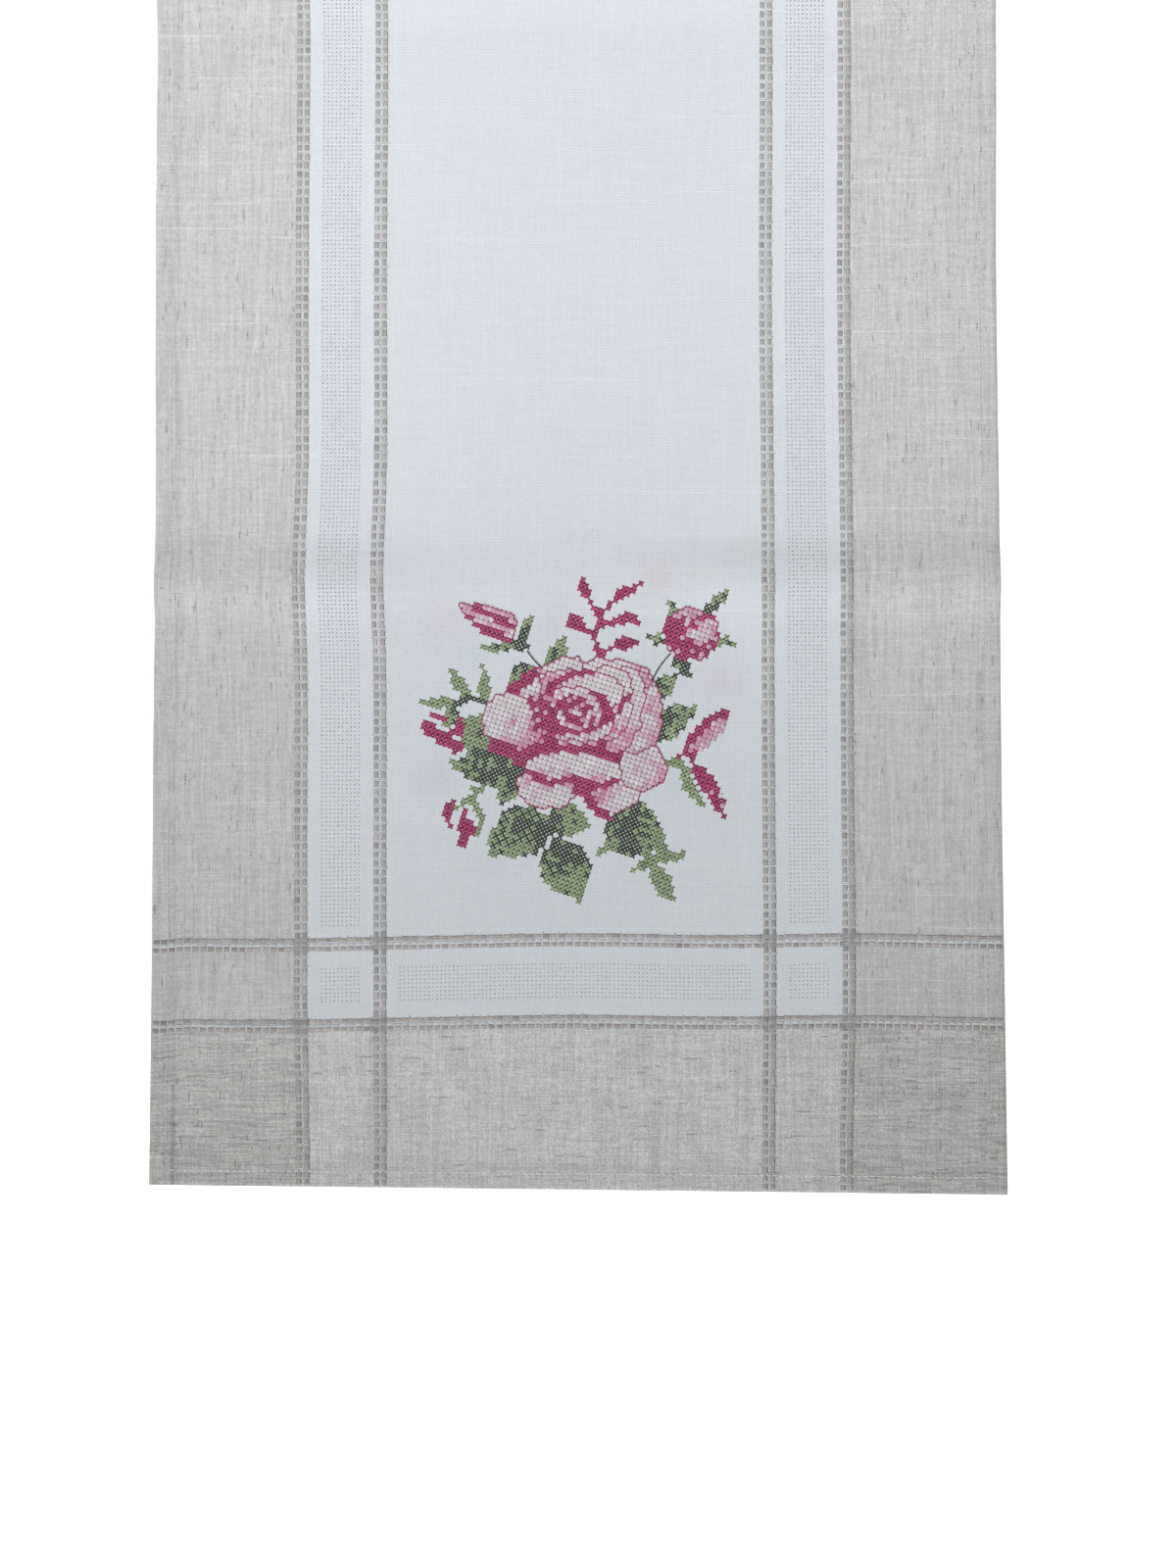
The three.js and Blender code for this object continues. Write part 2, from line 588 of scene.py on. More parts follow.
@dataclass(frozen=True)
class ClothFinish:
    """Finish of the woven cloth: white cotton with natural linen in the border bands.

    Colours are red, green, blue and alpha. The low and high of a yarn are its darkest and lightest
    stretches. A share says how much of a colour shows, and a grain or streak how much the tone changes.
    """

    effects: SharedEffects
    bands: BandLayout
    white_low: Colour = (0.577, 0.608, 0.647, 1)
    white_high: Colour = (0.617, 0.651, 0.692, 1)
    warp_linen_low: Colour = (0.323, 0.307, 0.278, 1)
    warp_linen_high: Colour = (0.443, 0.420, 0.383, 1)
    weft_linen_low: Colour = (0.394, 0.380, 0.345, 1)
    weft_linen_high: Colour = (0.528, 0.508, 0.463, 1)
    corner_lift: Colour = (1.11, 1.15, 1.22, 1)
    fleck: Colour = (0.110, 0.092, 0.070, 1)
    slub: Colour = (0.720, 0.745, 0.765, 1)
    thread: float = 0.68 * MM
    warp_tone: float = 22 * MM
    weft_tone: float = 13 * MM
    warp_fleck: float = 4.5 * MM
    weft_fleck: float = 8 * MM
    slub_length: float = 66 * MM
    fleck_share: float = 0.8
    slub_share: float = 0.36
    linen_slub_share: float = 0.22
    cover: float = 0.15
    white_grain: float = 0.05
    linen_grain: float = 0.18
    corner_grain: float = 0.10
    end_grain: float = 0.10
    corner_streak: float = 0.20
    end_streak: float = 0.12
    crown_height: float = 0.16 * MM
    full_crown: float = 0.75
    # Painted shade: share of its colour that the cloth keeps in the gaps between threads.
    gap_painted_shade: float = 0.81
    slub_height: float = 0.6
    bump: float = 0.55
    wander_scale: float = 55.0
    wander_reach: float = 1.6 * MM
    band_edge: float = 0.4 * MM
    top_range: Range = (0.35, 0.65)
    under_share: float = 0.15
    tone_range: Range = (0.2, 0.8)
    roughness: Range = (0.82, 0.96)
    specular: float = 0.22
    sheen: float = 0.12
    sheen_roughness: float = 0.6

    def material(self) -> Material:
        """Build the material: two systems of uneven threads, woven, specked, with painted shade in the gaps
        and tinted.

        Returns:
            The material.
        """
        material, board, shader = start_material("woven cloth")
        place = board.add("ShaderNodeUVMap", uv_map=CLOTH_UV).outputs[0]
        split = board.add("ShaderNodeSeparateXYZ", {"Vector": place})
        x, y = split.outputs["X"], split.outputs["Y"]
        wander = board.noise(board.vector(x, y), self.wander_scale)
        sway = board.math("MULTIPLY", board.math("SUBTRACT", wander, 0.5), self.wander_reach)
        warp_x = board.math("ADD", x, sway)
        weft_y = board.math("ADD", y, sway)
        warp, warp_fleck, _ = self.yarn(board, warp_x, y, self.warp_tone, self.warp_fleck)
        weft, weft_fleck, weft_slub = self.yarn(board, weft_y, x, self.weft_tone, self.weft_fleck)
        from_middle = board.math("SUBTRACT", x, self.bands.middle)
        warp_linen = self.band(board, from_middle, self.bands.outer_stripe)
        weft_linen = self.band(board, y, self.bands.end_stripe)
        warp_colour = self.yarn_colour(board, warp, warp_linen, self.warp_linen_low, self.warp_linen_high)
        weft_colour = self.yarn_colour(board, weft, weft_linen, self.weft_linen_low, self.weft_linen_high)
        warp_specks = board.math("MULTIPLY", warp_fleck, warp_linen)
        weft_specks = board.math("MULTIPLY", weft_fleck, weft_linen)
        crossings = {"Across": warp_x, "Along": weft_y, "Pitch": self.thread}
        weave = board.add("ShaderNodeGroup", crossings, node_tree=self.effects.weave)
        crown = weave.outputs["Crown"]
        warp_on_top = weave.outputs["Warp On Top"]
        warp_shows = board.ramp(warp_on_top, *self.top_range, self.under_share, 1.0)
        weft_shows = board.ramp(warp_on_top, *self.top_range, 1.0, self.under_share)
        warp_specks = board.math("MULTIPLY", warp_specks, warp_shows)
        weft_specks = board.math("MULTIPLY", weft_specks, weft_shows)
        specks = board.math("MULTIPLY", board.math("MAXIMUM", warp_specks, weft_specks), self.fleck_share)
        thicker = board.math("SUBTRACT", warp, weft)
        on_top = board.math("MULTIPLY_ADD", thicker, self.cover, warp_on_top)
        colour = board.mix(on_top, weft_colour, warp_colour)
        both_linen = board.math("MULTIPLY", warp_linen, weft_linen)
        colour = board.mix(both_linen, colour, board.mix(1.0, colour, self.corner_lift, "MULTIPLY"))
        colour = board.mix(specks, colour, self.fleck)
        slub_share = board.ramp(weft_linen, 0.0, 1.0, self.slub_share, self.linen_slub_share)
        colour = board.mix(board.math("MULTIPLY", weft_slub, slub_share), colour, self.slub)
        some_linen = board.math("MAXIMUM", warp_linen, weft_linen)
        strength = board.math("MULTIPLY_ADD", some_linen, self.linen_grain, self.white_grain)
        strength = board.math("MULTIPLY_ADD", both_linen, self.corner_grain, strength)
        end_linen = board.math("SUBTRACT", weft_linen, both_linen)
        strength = board.math("MULTIPLY_ADD", end_linen, self.end_grain, strength)
        weft_streak = board.math("MULTIPLY", board.math("SUBTRACT", 0.5, weft), self.corner_streak)
        warp_streak = board.math("MULTIPLY", board.math("SUBTRACT", warp, 0.5), self.end_streak)
        end_part = board.math("MULTIPLY", warp_streak, end_linen)
        streak = board.math("MULTIPLY_ADD", weft_streak, both_linen, end_part)
        grain = board.math("SUBTRACT", weave.outputs["Grain"], 0.5)
        # Painted shade in the gaps of the weave, which are darker than the crowns of the threads.
        depth = board.ramp(crown, 0.0, self.full_crown, self.gap_painted_shade, 1.0)
        uneven = board.math("ADD", streak, board.math("MULTIPLY_ADD", grain, strength, 1.0))
        depth = board.math("MULTIPLY", depth, uneven)
        shaded = board.mix(1.0, colour, board.vector(depth, depth, depth), "MULTIPLY")
        tint = board.add("ShaderNodeAttribute", attribute_name=TINT).outputs["Color"]
        shaded = board.mix(1.0, shaded, tint, "MULTIPLY")
        board.feed(shader.inputs["Base Color"], shaded)
        height = board.math("MULTIPLY_ADD", weft_slub, self.slub_height, crown)
        relief = {"Height": height, "Strength": self.bump, "Distance": self.crown_height}
        board.feed(shader.inputs["Normal"], board.add("ShaderNodeBump", relief).outputs["Normal"])
        board.feed(shader.inputs["Roughness"], board.ramp(warp, *self.tone_range, *self.roughness))
        shader.inputs["Specular IOR Level"].default_value = self.specular
        shader.inputs["Sheen Weight"].default_value = self.sheen
        shader.inputs["Sheen Roughness"].default_value = self.sheen_roughness
        return material

    def yarn(self, board: NodeBoard, across: object, along: object, tone: float, fleck: float) -> tuple:
        """Unevenness of one system of threads.

        Args:
            board: Where the nodes go.
            across: Place across the threads.
            along: Place along the threads.
            tone: Length of the stretches of one tone.
            fleck: Length of the flecks.

        Returns:
            Tone, fleck and slub.
        """
        sockets = {"Across": across, "Along": along, "Thread": self.thread, "Tone": tone, "Fleck": fleck,
                   "Slub": self.slub_length}
        node = board.add("ShaderNodeGroup", sockets, node_tree=self.effects.yarn)
        return tuple(node.outputs[label] for label in ("Tone", "Fleck", "Slub"))

    def band(self, board: NodeBoard, place: object, inner: float) -> Socket:
        """Mask of the two outer bands, beyond a line on either side of the middle."""
        return board.ramp(board.math("ABSOLUTE", place), inner - self.band_edge, inner + self.band_edge)

    def yarn_colour(self, board: NodeBoard, tone: object, linen: object, low: Colour, high: Colour) -> Socket:
        """Colour of one system of threads: where they are thicker, white is lighter and linen is darker."""
        white = board.mix(tone, self.white_low, self.white_high)
        return board.mix(linen, white, board.mix(tone, high, low))


@dataclass(frozen=True)
class ThreadFinish:
    """Finish of stitched or floating thread, coloured by the piece's own colour attribute.

    turn, lead and slope shape its twist. Its ridges get painted light and its grooves painted shade, at a
    strength of their own; fuzz is the tone of its fibre, and smoother and rougher how far its roughness
    strays.
    """

    effects: SharedEffects
    name: str
    turn: float = 0.7 * MM
    lead: float = 1.0
    slope: float = 1.0
    twist_light_and_shade: float = 0.30
    fuzz: float = 0.35
    roughness: float = 0.55
    sheen: float = 0.05
    specular: float = 0.2
    relief: float = 0.10 * MM
    bump: float = 0.6
    smoother: float = 0.08
    rougher: float = 0.12
    fibre_range: Range = (0.3, 0.7)
    sheen_roughness: float = 0.45

    def material(self) -> Material:
        """Build the material: the piece's colour with painted light and shade of the twist, uneven by fibre.

        Returns:
            The material.
        """
        material, board, shader = start_material(self.name)
        place = board.add("ShaderNodeUVMap", uv_map=THREAD_UV).outputs[0]
        split = board.add("ShaderNodeSeparateXYZ", {"Vector": place})
        sockets = {"Along": split.outputs["X"], "Across": split.outputs["Y"], "Turn": self.turn,
                   "Lead": self.lead, "Slope": self.slope}
        twist = board.add("ShaderNodeGroup", sockets, node_tree=self.effects.twist)
        tint = board.add("ShaderNodeAttribute", attribute_name=TINT).outputs["Color"]
        fibre = board.math("MULTIPLY_ADD", twist.outputs["Fibre"], self.fuzz, -self.fuzz / 2)
        # Painted light and shade of the twist: the colour is lighter on its ridges and darker in its grooves.
        ridge = board.math("MULTIPLY_ADD", twist.outputs["Ridge"], self.twist_light_and_shade, 1.0 - self.twist_light_and_shade / 2)
        tone = board.math("ADD", ridge, fibre)
        colour = board.mix(1.0, tint, board.vector(tone, tone, tone), "MULTIPLY")
        board.feed(shader.inputs["Base Color"], colour)
        height = board.math("ADD", twist.outputs["Ridge"], twist.outputs["Fibre"])
        relief = {"Height": height, "Strength": self.bump, "Distance": self.relief}
        board.feed(shader.inputs["Normal"], board.add("ShaderNodeBump", relief).outputs["Normal"])
        low, high = self.roughness - self.smoother, self.roughness + self.rougher
        rough = board.ramp(twist.outputs["Fibre"], *self.fibre_range, low, high)
        board.feed(shader.inputs["Roughness"], rough)
        shader.inputs["Specular IOR Level"].default_value = self.specular
        shader.inputs["Sheen Weight"].default_value = self.sheen
        shader.inputs["Sheen Roughness"].default_value = self.sheen_roughness
        return material


class StrokeForm(NamedTuple):
    """Form of a laid thread: stations along it, with its arch and its girth at each."""

    stations: Numbers
    arch: Numbers
    girth: Numbers


LOW_STROKE = StrokeForm((0, 0.2, 0.5, 0.8, 1), (0.1, 0.8, 0.9, 0.8, 0.1), (0.8, 1, 1, 1, 0.8))
HIGH_STROKE = StrokeForm((0, 0.2, 0.5, 0.8, 1), (0.1, 0.8, 1.4, 0.8, 0.1), (0.8, 1, 1, 1, 0.8))
SEAM_STROKE = StrokeForm((0, 0.2, 0.8, 1), (-0.2, 0.9, 0.9, -0.2), (0.6, 1, 1, 0.6))
FLOAT_STROKE = StrokeForm((0, 0.08, 0.92, 1), (0.5, 1, 1, 0.5), (1, 1, 1, 1))
PLAIN_STROKE = StrokeForm((0, 1), (1, 1), (1, 1))
DOT_STROKE = StrokeForm((0, 0.5, 1), (0.85, 1, 0.85), (0.5, 1, 0.5))

STROKE_OFFSET = np.array([1.0, 0.55, -0.55, -1.0])
STROKE_DROP = np.array([0.95, 0.0, 0.0, 0.95])
NEEDLE_SHADE_REACH = 0.1


def thread_strokes(form: StrokeForm, start: Array, end: Array, width: Array | float, rise: Array | float,
                   surface: Surface, colour: Array, needle_shade: float = 1.0) -> MeshParts:
    """Lay many short threads over the flat cloth.

    Each is a four-sided tube along a straight line: at every station its two upper corners stand above the
    cloth by the rise times the arch there, its two lower corners a little less than the rise lower.

    Args:
        form: Stations, arch and girth that all the threads share.
        start: Start points, one row each.
        end: End points, one row each.
        width: Widths of the threads.
        rise: Rises of the threads.
        surface: Height of the cloth's face at given places.
        colour: Colours, one row each.
        needle_shade: Share of its colour that a thread keeps where it goes into the cloth, a painted shade
            there.

    Returns:
        The closed tubes, with the distance along and across each thread as marks.
    """
    count = len(start)
    stations = np.array(form.stations)
    steps, sides = len(stations), len(STROKE_OFFSET)
    width, rise = (np.broadcast_to(value, count)[:, None, None] for value in (width, rise))
    way = end - start
    length = np.linalg.norm(way, axis=1)
    left = np.stack([-way[:, 1], way[:, 0]], axis=1) / length[:, None]
    girth = np.array(form.girth)[:, None] * STROKE_OFFSET
    aside = girth * width / 2
    middle = start[:, None, :] + way[:, None, :] * stations[:, None]
    plan = middle[:, :, None, :] + left[:, None, None, :] * aside[..., None]
    base = surface(middle[..., 0], middle[..., 1])[..., None]
    height = base + rise * (np.array(form.arch)[:, None] - STROKE_DROP)
    flat = np.concatenate([plan, height[..., None]], axis=-1).reshape(-1, 3)
    along = np.broadcast_to((length[:, None] * stations)[:, :, None], aside.shape)
    uv = np.stack([along, aside], axis=-1).reshape(-1, 2)
    # Painted shade: each thread is darker near its two ends, where it dives into the cloth.
    shade = np.where((stations < NEEDLE_SHADE_REACH) | (stations > 1 - NEEDLE_SHADE_REACH), needle_shade, 1.0)
    tint = colour[:, None, None, :] * shade[:, None, None] * np.ones((sides, 1))
    step, side = np.meshgrid(np.arange(steps - 1), np.arange(sides), indexing="ij")
    turned = (side + 1) % sides
    wall = np.stack([step * sides + side, step * sides + turned, (step + 1) * sides + turned,
                     (step + 1) * sides + side], axis=-1).reshape(-1, 4)
    first = np.arange(sides)[::-1]
    last = (steps - 1) * sides + np.arange(sides)
    unit = np.concatenate([wall, first[None], last[None]])
    faces = (np.arange(count) * steps * sides)[:, None, None] + unit
    return MeshParts(flat, faces.reshape(-1, 4), uv, tint.reshape(-1, 3))


class Haze(NamedTuple):
    """A faint mark on the cloth, which is a stain, painted light or painted shade: place from the spray's
    centre and reach, in millimetres.

    red, green and blue are the shares of its colour that the cloth keeps there, above 1 where light is
    painted.
    """

    x: float
    y: float
    reach: float
    red: float
    green: float
    blue: float


HAZES = (
    Haze(0, -4, 82, 0.952, 0.957, 0.963),
    Haze(-76, 62, 22, 0.972, 0.966, 0.966),
    Haze(-60, 56, 11, 0.985, 0.945, 0.955),
    Haze(-10, 59, 12, 0.980, 0.945, 0.955),
    Haze(-47, 41, 9, 0.945, 0.965, 0.970),
    Haze(67, 28, 8, 0.980, 0.935, 0.950),
    Haze(-66, -16, 9, 0.955, 0.920, 0.950),
    Haze(-44, -57, 9, 0.950, 0.965, 0.955),
    Haze(48, -20, 10, 0.945, 0.960, 0.950),
    Haze(38, 76, 10, 0.975, 0.930, 0.930),
    Haze(39, 30, 11, 0.940, 0.955, 0.955),
    # Painted shade: a grey patch on the right side band near the end.
    Haze(164, -167, 62, 0.955, 0.955, 0.958),
    # Painted light: lighter patches on both side bands, between the spray and the runner's middle.
    Haze(-165, 150, 85, 1.060, 1.055, 1.055),
    Haze(-165, 285, 85, 1.060, 1.055, 1.055),
    Haze(165, 150, 85, 1.060, 1.050, 1.050),
    Haze(165, 285, 85, 1.060, 1.050, 1.050),
)


@dataclass(frozen=True)
class WovenCloth:
    """The runner's cloth with its turned hem, cut out where the openwork bands are set in.

    hem_lines are the places of grid lines from the edge, in millimetres. The slope is the step at the hem's
    inner fold, with its places from that fold, and the drop is the rounding of the edge. The fold is the
    pressed line of the side hems, and softer_corners its depth at all corners but the hardest pressed one.
    """

    cloth: LyingCloth
    bands: BandLayout
    layers: Layers
    hem_lines: Numbers = (0, 0.35, 1, 2.4, 5, 7.2, 8, 8.8, 9.8, 10.5, 11.2, 12, 13.2)
    step: float = 4.2 * MM
    net_lap: float = 0.35 * MM
    slope_places: Numbers = (-2.4 * MM, -0.6 * MM, 1.6 * MM)
    slope_heights: Numbers = (1, 0.45, 0)
    drop_places: Numbers = (0, 0.35 * MM, 1 * MM)
    drop_shares: Numbers = (1, 0.3, 0)
    seam_inset: float = 8.0 * MM
    seam_reach: float = 0.9 * MM
    seam_depth: float = 0.22
    fold_inset: float = 11.0 * MM
    fold_reach: float = 1.1 * MM
    fold_least: float = 0.14
    fold_depth: float = 0.30 * MM
    # Painted shade along the pressed fold of the side hems.
    fold_shade: float = 0.36
    corner_reach: float = 52 * MM
    softer_corners: float = 0.45
    hem_shade: float = 0.035
    hem_shade_edge: float = 1 * MM

    def net_frames(self) -> list[Rectangle]:
        """Work out where the openwork lies on the flat cloth.

        Returns:
            Its rectangles, as low x, high x, low y, high y.
        """
        bands = self.bands
        side = bands.net_columns * bands.hole_across / 2
        end = bands.net_rows * bands.hole_along / 2
        long_x = bands.end_net_columns * bands.hole_across / 2
        long_y = bands.side_net_rows * bands.hole_along / 2
        frames = []
        for sign in (-1, 1):
            x = bands.middle + sign * bands.net_side
            y = sign * bands.net_end
            frames.append((x - side, x + side, -long_y, long_y))
            frames.append((bands.middle - long_x, bands.middle + long_x, y - end, y + end))
            for corner in (-1, 1):
                corner_y = corner * bands.net_end
                frames.append((x - side, x + side, corner_y - end, corner_y + end))
        return frames

    def lines(self, half: float, cuts: Array) -> Array:
        """Grid lines over one direction: close ones at the hems, the cuts, and even steps between them.

        Args:
            half: Half the cloth's size in that direction.
            cuts: Edges of the openwork.

        Returns:
            The places of the lines, in order.
        """
        hem_lines = MM * np.array(self.hem_lines)
        fixed = np.unique(np.concatenate([hem_lines - half, half - hem_lines, cuts]).round(PLACE_DIGITS))
        spans = []
        for low, high in zip(fixed[:-1], fixed[1:]):
            spans.append(np.linspace(low, high, max(1, round((high - low) / self.step)) + 1)[:-1])
        return np.concatenate(spans + [fixed[-1:]])

    def surface(self, x: Array, y: Array) -> Array:
        """Height of the cloth's face: a step up at the hem's inner fold, and a round drop at the edge.

        The seam draws the hem down a little along its line of stitches.

        Args:
            x: Places across the cloth.
            y: Places along the cloth.

        Returns:
            The heights above the underside.
        """
        layers = self.layers
        from_edge = [self.cloth.half_width - np.abs(x), self.cloth.half_length - np.abs(y)]
        slope = np.add(self.bands.hem, self.slope_places)
        profile = [np.interp(edge, slope, self.slope_heights) for edge in from_edge]
        seam = [np.exp(-((edge - self.seam_inset) / self.seam_reach) ** 2) for edge in from_edge]
        rounding = [np.interp(edge, self.drop_places, self.drop_shares) for edge in from_edge]
        rise = layers.hem_rise * (np.maximum(*profile) - self.seam_depth * np.maximum(*seam))
        fold = self.fold_depth * self.pressed(x, y)
        return layers.cloth + rise - fold - layers.edge_drop * np.maximum(*rounding)

    def pressed(self, x: Array, y: Array) -> Array:
        """How hard the side hem's inner fold is pressed in: most near the corners, and most at the near left.

        It is a bell across the fold, times a bell along the hem round each corner.

        Args:
            x: Places across the cloth.
            y: Places along the cloth.

        Returns:
            The depth of the fold, 1 where it is deepest.
        """
        from_side = self.cloth.half_width - np.abs(x)
        across = np.exp(-((from_side - self.fold_inset) / self.fold_reach) ** 2)
        along = np.exp(-((np.abs(y) - self.cloth.half_length) / self.corner_reach) ** 2)
        hardest = np.where((x < 0) & (y < 0), 1.0, self.softer_corners)
        return across * (self.fold_least + (hardest - self.fold_least) * along)

    def tint(self, x: Array, y: Array) -> Array:
        """Share of its colour that the cloth keeps: less on the hems and in stains, with painted shade along
        the pressed fold and painted light and shade in a few patches.

        Each stain, and each patch of painted light and of painted shade, is a bell round its centre, and lies
        turned half round at the far end.

        Args:
            x: Places across the cloth.
            y: Places along the cloth.

        Returns:
            The shares of red, green and blue.
        """
        from_edge = np.minimum(self.cloth.half_width - np.abs(x), self.cloth.half_length - np.abs(y))
        hem_edge = [self.bands.hem - self.hem_shade_edge, self.bands.hem + self.hem_shade_edge]
        on_hem = np.interp(from_edge, hem_edge, [1, 0])
        # Painted shade along the pressed fold, deepest at the near left corner, and a darker hem.
        kept = 1 - self.fold_shade * self.pressed(x, y) - self.hem_shade * on_hem
        kept = np.repeat(kept[..., None], 3, axis=-1)
        for haze in HAZES:
            for sign in (-1, 1):
                away_x = x - sign * (haze.x * MM + self.bands.spray_x)
                away_y = y - sign * (haze.y * MM + self.bands.spray_y)
                bell = np.exp(-(away_x**2 + away_y**2) / (haze.reach * MM) ** 2)
                kept = kept * (1 - bell[..., None] * (1 - np.array([haze.red, haze.green, haze.blue])))
        return kept

    def parts(self) -> MeshParts:
        """Build the cloth as a closed slab: a face and a back on one grid, walled where they end.

        Returns:
            The mesh.
        """
        cuts = np.array(self.net_frames()) + [self.net_lap, -self.net_lap, self.net_lap, -self.net_lap]
        x = self.lines(self.cloth.half_width, cuts[:, :2].ravel())
        y = self.lines(self.cloth.half_length, cuts[:, 2:].ravel())
        grid_x, grid_y = np.meshgrid(x, y, indexing="ij")
        face = self.surface(grid_x, grid_y)
        tint = np.tile(self.tint(grid_x, grid_y).reshape(-1, 3), (2, 1))
        back = np.full(face.shape, self.layers.under)
        flat = np.stack([np.tile(grid_x.ravel(), 2), np.tile(grid_y.ravel(), 2),
                         np.concatenate([face.ravel(), back.ravel()])], axis=-1)
        middle_x, middle_y = np.meshgrid((x[:-1] + x[1:]) / 2, (y[:-1] + y[1:]) / 2, indexing="ij")
        kept = np.ones(middle_x.shape, dtype=bool)
        for low_x, high_x, low_y, high_y in cuts:
            inside = (middle_x > low_x) & (middle_x < high_x) & (middle_y > low_y) & (middle_y < high_y)
            kept &= ~inside
        faces = self.slab_faces(kept, len(y), face.size)
        used, compact = np.unique(faces, return_inverse=True)
        flat = flat[used]
        return MeshParts(flat, compact.reshape(-1, 4), flat[:, :2].copy(), tint[used])

    @staticmethod
    def slab_faces(kept: Array, row: int, layer: int) -> Array:
        """Faces of a slab of grid cells: fronts, backs and a wall along every edge of the kept cells.

        Args:
            kept: Which cells are kept.
            row: Number of points along y.
            layer: Number of points in the front.

        Returns:
            The four-cornered faces.
        """
        cell_x, cell_y = np.nonzero(kept)
        corner = cell_x * row + cell_y
        front = np.stack([corner, corner + row, corner + row + 1, corner + 1], axis=-1)
        padded = np.pad(kept, 1)
        walls = []
        sides = ((-1, 0, 0, 1), (1, 0, row + 1, row), (0, -1, row, 0), (0, 1, 1, row + 1))
        for step_x, step_y, first, second in sides:
            beside = padded[1 + step_x:padded.shape[0] - 1 + step_x, 1 + step_y:padded.shape[1] - 1 + step_y]
            start = corner[~beside[cell_x, cell_y]]
            walls.append(np.stack([start + first, start + second, start + second + layer,
                                   start + first + layer], axis=-1))
        return np.concatenate([front, front[:, ::-1] + layer] + walls)

    def build(self, maker: Maker, material: Material) -> Object:
        """Make the cloth's piece in its finish."""
        return maker.piece("woven_cloth", self.parts(), CLOTH_UV, material, "woven_cloth")


@dataclass(frozen=True)
class Openwork:
    """A band of drawn-thread openwork: a grid of thread bundles with a small hole in every cell.

    The hole's sizes are shares of its cell, and so are the spreads of its place and its size.
    """

    bands: BandLayout
    layers: Layers
    hole_across: float = 0.36
    hole_along: float = 0.36
    place_spread: float = 0.035
    size_spread: float = 0.16
    least_size: float = 0.6
    most_size: float = 1.5
    brightness: float = 1.01
    seed_step: int = 100

    def parts(self, band: Rectangle, seed: int) -> MeshParts:
        """One band: every cell has a sloping frame above and below, meeting in the rim of its hole.

        Args:
            band: Its rectangle on the flat cloth, as low x, high x, low y, high y.
            seed: Seed of the small unevenness of the holes.

        Returns:
            The closed net.
        """
        low_x, high_x, low_y, high_y = band
        columns = round((high_x - low_x) / self.bands.hole_across)
        rows = round((high_y - low_y) / self.bands.hole_along)
        draw = np.random.default_rng(seed)
        x = np.linspace(low_x, high_x, columns + 1)
        y = np.linspace(low_y, high_y, rows + 1)
        node_x, node_y = (grid.ravel() for grid in np.meshgrid(x, y, indexing="ij"))
        layers = self.layers
        top = np.stack([node_x, node_y, np.full(node_x.size, layers.net)], axis=-1)
        under = top * [1, 1, 0] + [0, 0, layers.net_under]
        cells = np.meshgrid(np.arange(columns), np.arange(rows), indexing="ij")
        cell_x, cell_y = (grid.ravel() for grid in cells)
        count = cell_x.size
        pitch = np.array([self.bands.hole_across, self.bands.hole_along])
        centre = np.stack([x[cell_x], y[cell_y]], axis=-1) + pitch / 2
        centre = centre + pitch * draw.normal(0, self.place_spread, (count, 2))
        uneven = draw.normal(1, self.size_spread, (count, 2)).clip(self.least_size, self.most_size)
        half = pitch * [self.hole_across, self.hole_along] / 2 * uneven
        corners = np.array([[-1, -1], [1, -1], [1, 1], [-1, 1]])
        rim = (centre[:, None, :] + half[:, None, :] * corners).reshape(-1, 2)
        rim = np.concatenate([rim, np.full((len(rim), 1), layers.net_edge)], axis=1)
        flat = np.concatenate([top, under, rim])
        node = cell_x * (rows + 1) + cell_y
        outer = np.stack([node, node + rows + 1, node + rows + 2, node + 1], axis=-1)
        inner = 2 * top.shape[0] + np.arange(count)[:, None] * FACE_CORNERS + np.arange(FACE_CORNERS)
        next_outer, next_inner = np.roll(outer, -1, axis=1), np.roll(inner, -1, axis=1)
        upper = np.stack([outer, next_outer, next_inner, inner], axis=-1).reshape(-1, 4)
        lower_outer, lower_next = outer + top.shape[0], next_outer + top.shape[0]
        lower = np.stack([lower_next, lower_outer, inner, next_inner], axis=-1).reshape(-1, 4)
        border = WovenCloth.slab_faces(np.ones((columns, rows), dtype=bool), rows + 1, top.shape[0])
        walls = border[2 * count:]
        faces = np.concatenate([upper, lower, walls])
        return MeshParts(flat, faces, flat[:, :2].copy(), np.full((len(flat), 3), self.brightness))

    def build(self, maker: Maker, frames: list[Rectangle], material: Material) -> list[Object]:
        """Make the openwork in the cloth's finish: a piece for each long side, and one for both ends.

        Args:
            maker: Puts the pieces into the scene.
            frames: Rectangles of the openwork on the flat cloth.
            material: The cloth's finish.

        Returns:
            The pieces.
        """
        left, near, *corners_left = frames[:4]
        right, far, *corners_right = frames[4:]
        groups = {"left": [left], "right": [right], "ends": [near, far, *corners_left, *corners_right]}
        nets = []
        for number, (name, bands) in enumerate(groups.items()):
            parts = [self.parts(band, self.seed_step * number + index) for index, band in enumerate(bands)]
            net = MeshParts.joined(parts)
            nets.append(maker.piece(f"openwork_{name}", net, CLOTH_UV, material, "woven_cloth"))
        return nets


class StripeForm(NamedTuple):
    """Form of a twin stripe, in metres: whether it runs lengthwise, and the spacing and sizes of its threads.

    float_share is the share of the pitch that a float covers, tie_offsets the places of the white ties
    between two floats, and white_share the brightness of the white threads.
    """

    lengthwise: bool
    pitch: float
    pair_gap: float
    float_width: float
    float_share: float
    tie_width: float
    tie_offsets: Numbers
    core_width: float
    white_share: float


LENGTHWISE = StripeForm(
    True, 4.08 * MM, 3.66 * MM, 2.3 * MM, 0.64, 0.42 * MM, (-0.40 * MM, 0.40 * MM), 0.66 * MM, 0.88)
CROSSWISE = StripeForm(
    False, 3.65 * MM, 3.98 * MM, 1.95 * MM, 0.78, 0.62 * MM, (0.0,), 1.15 * MM, 0.86)


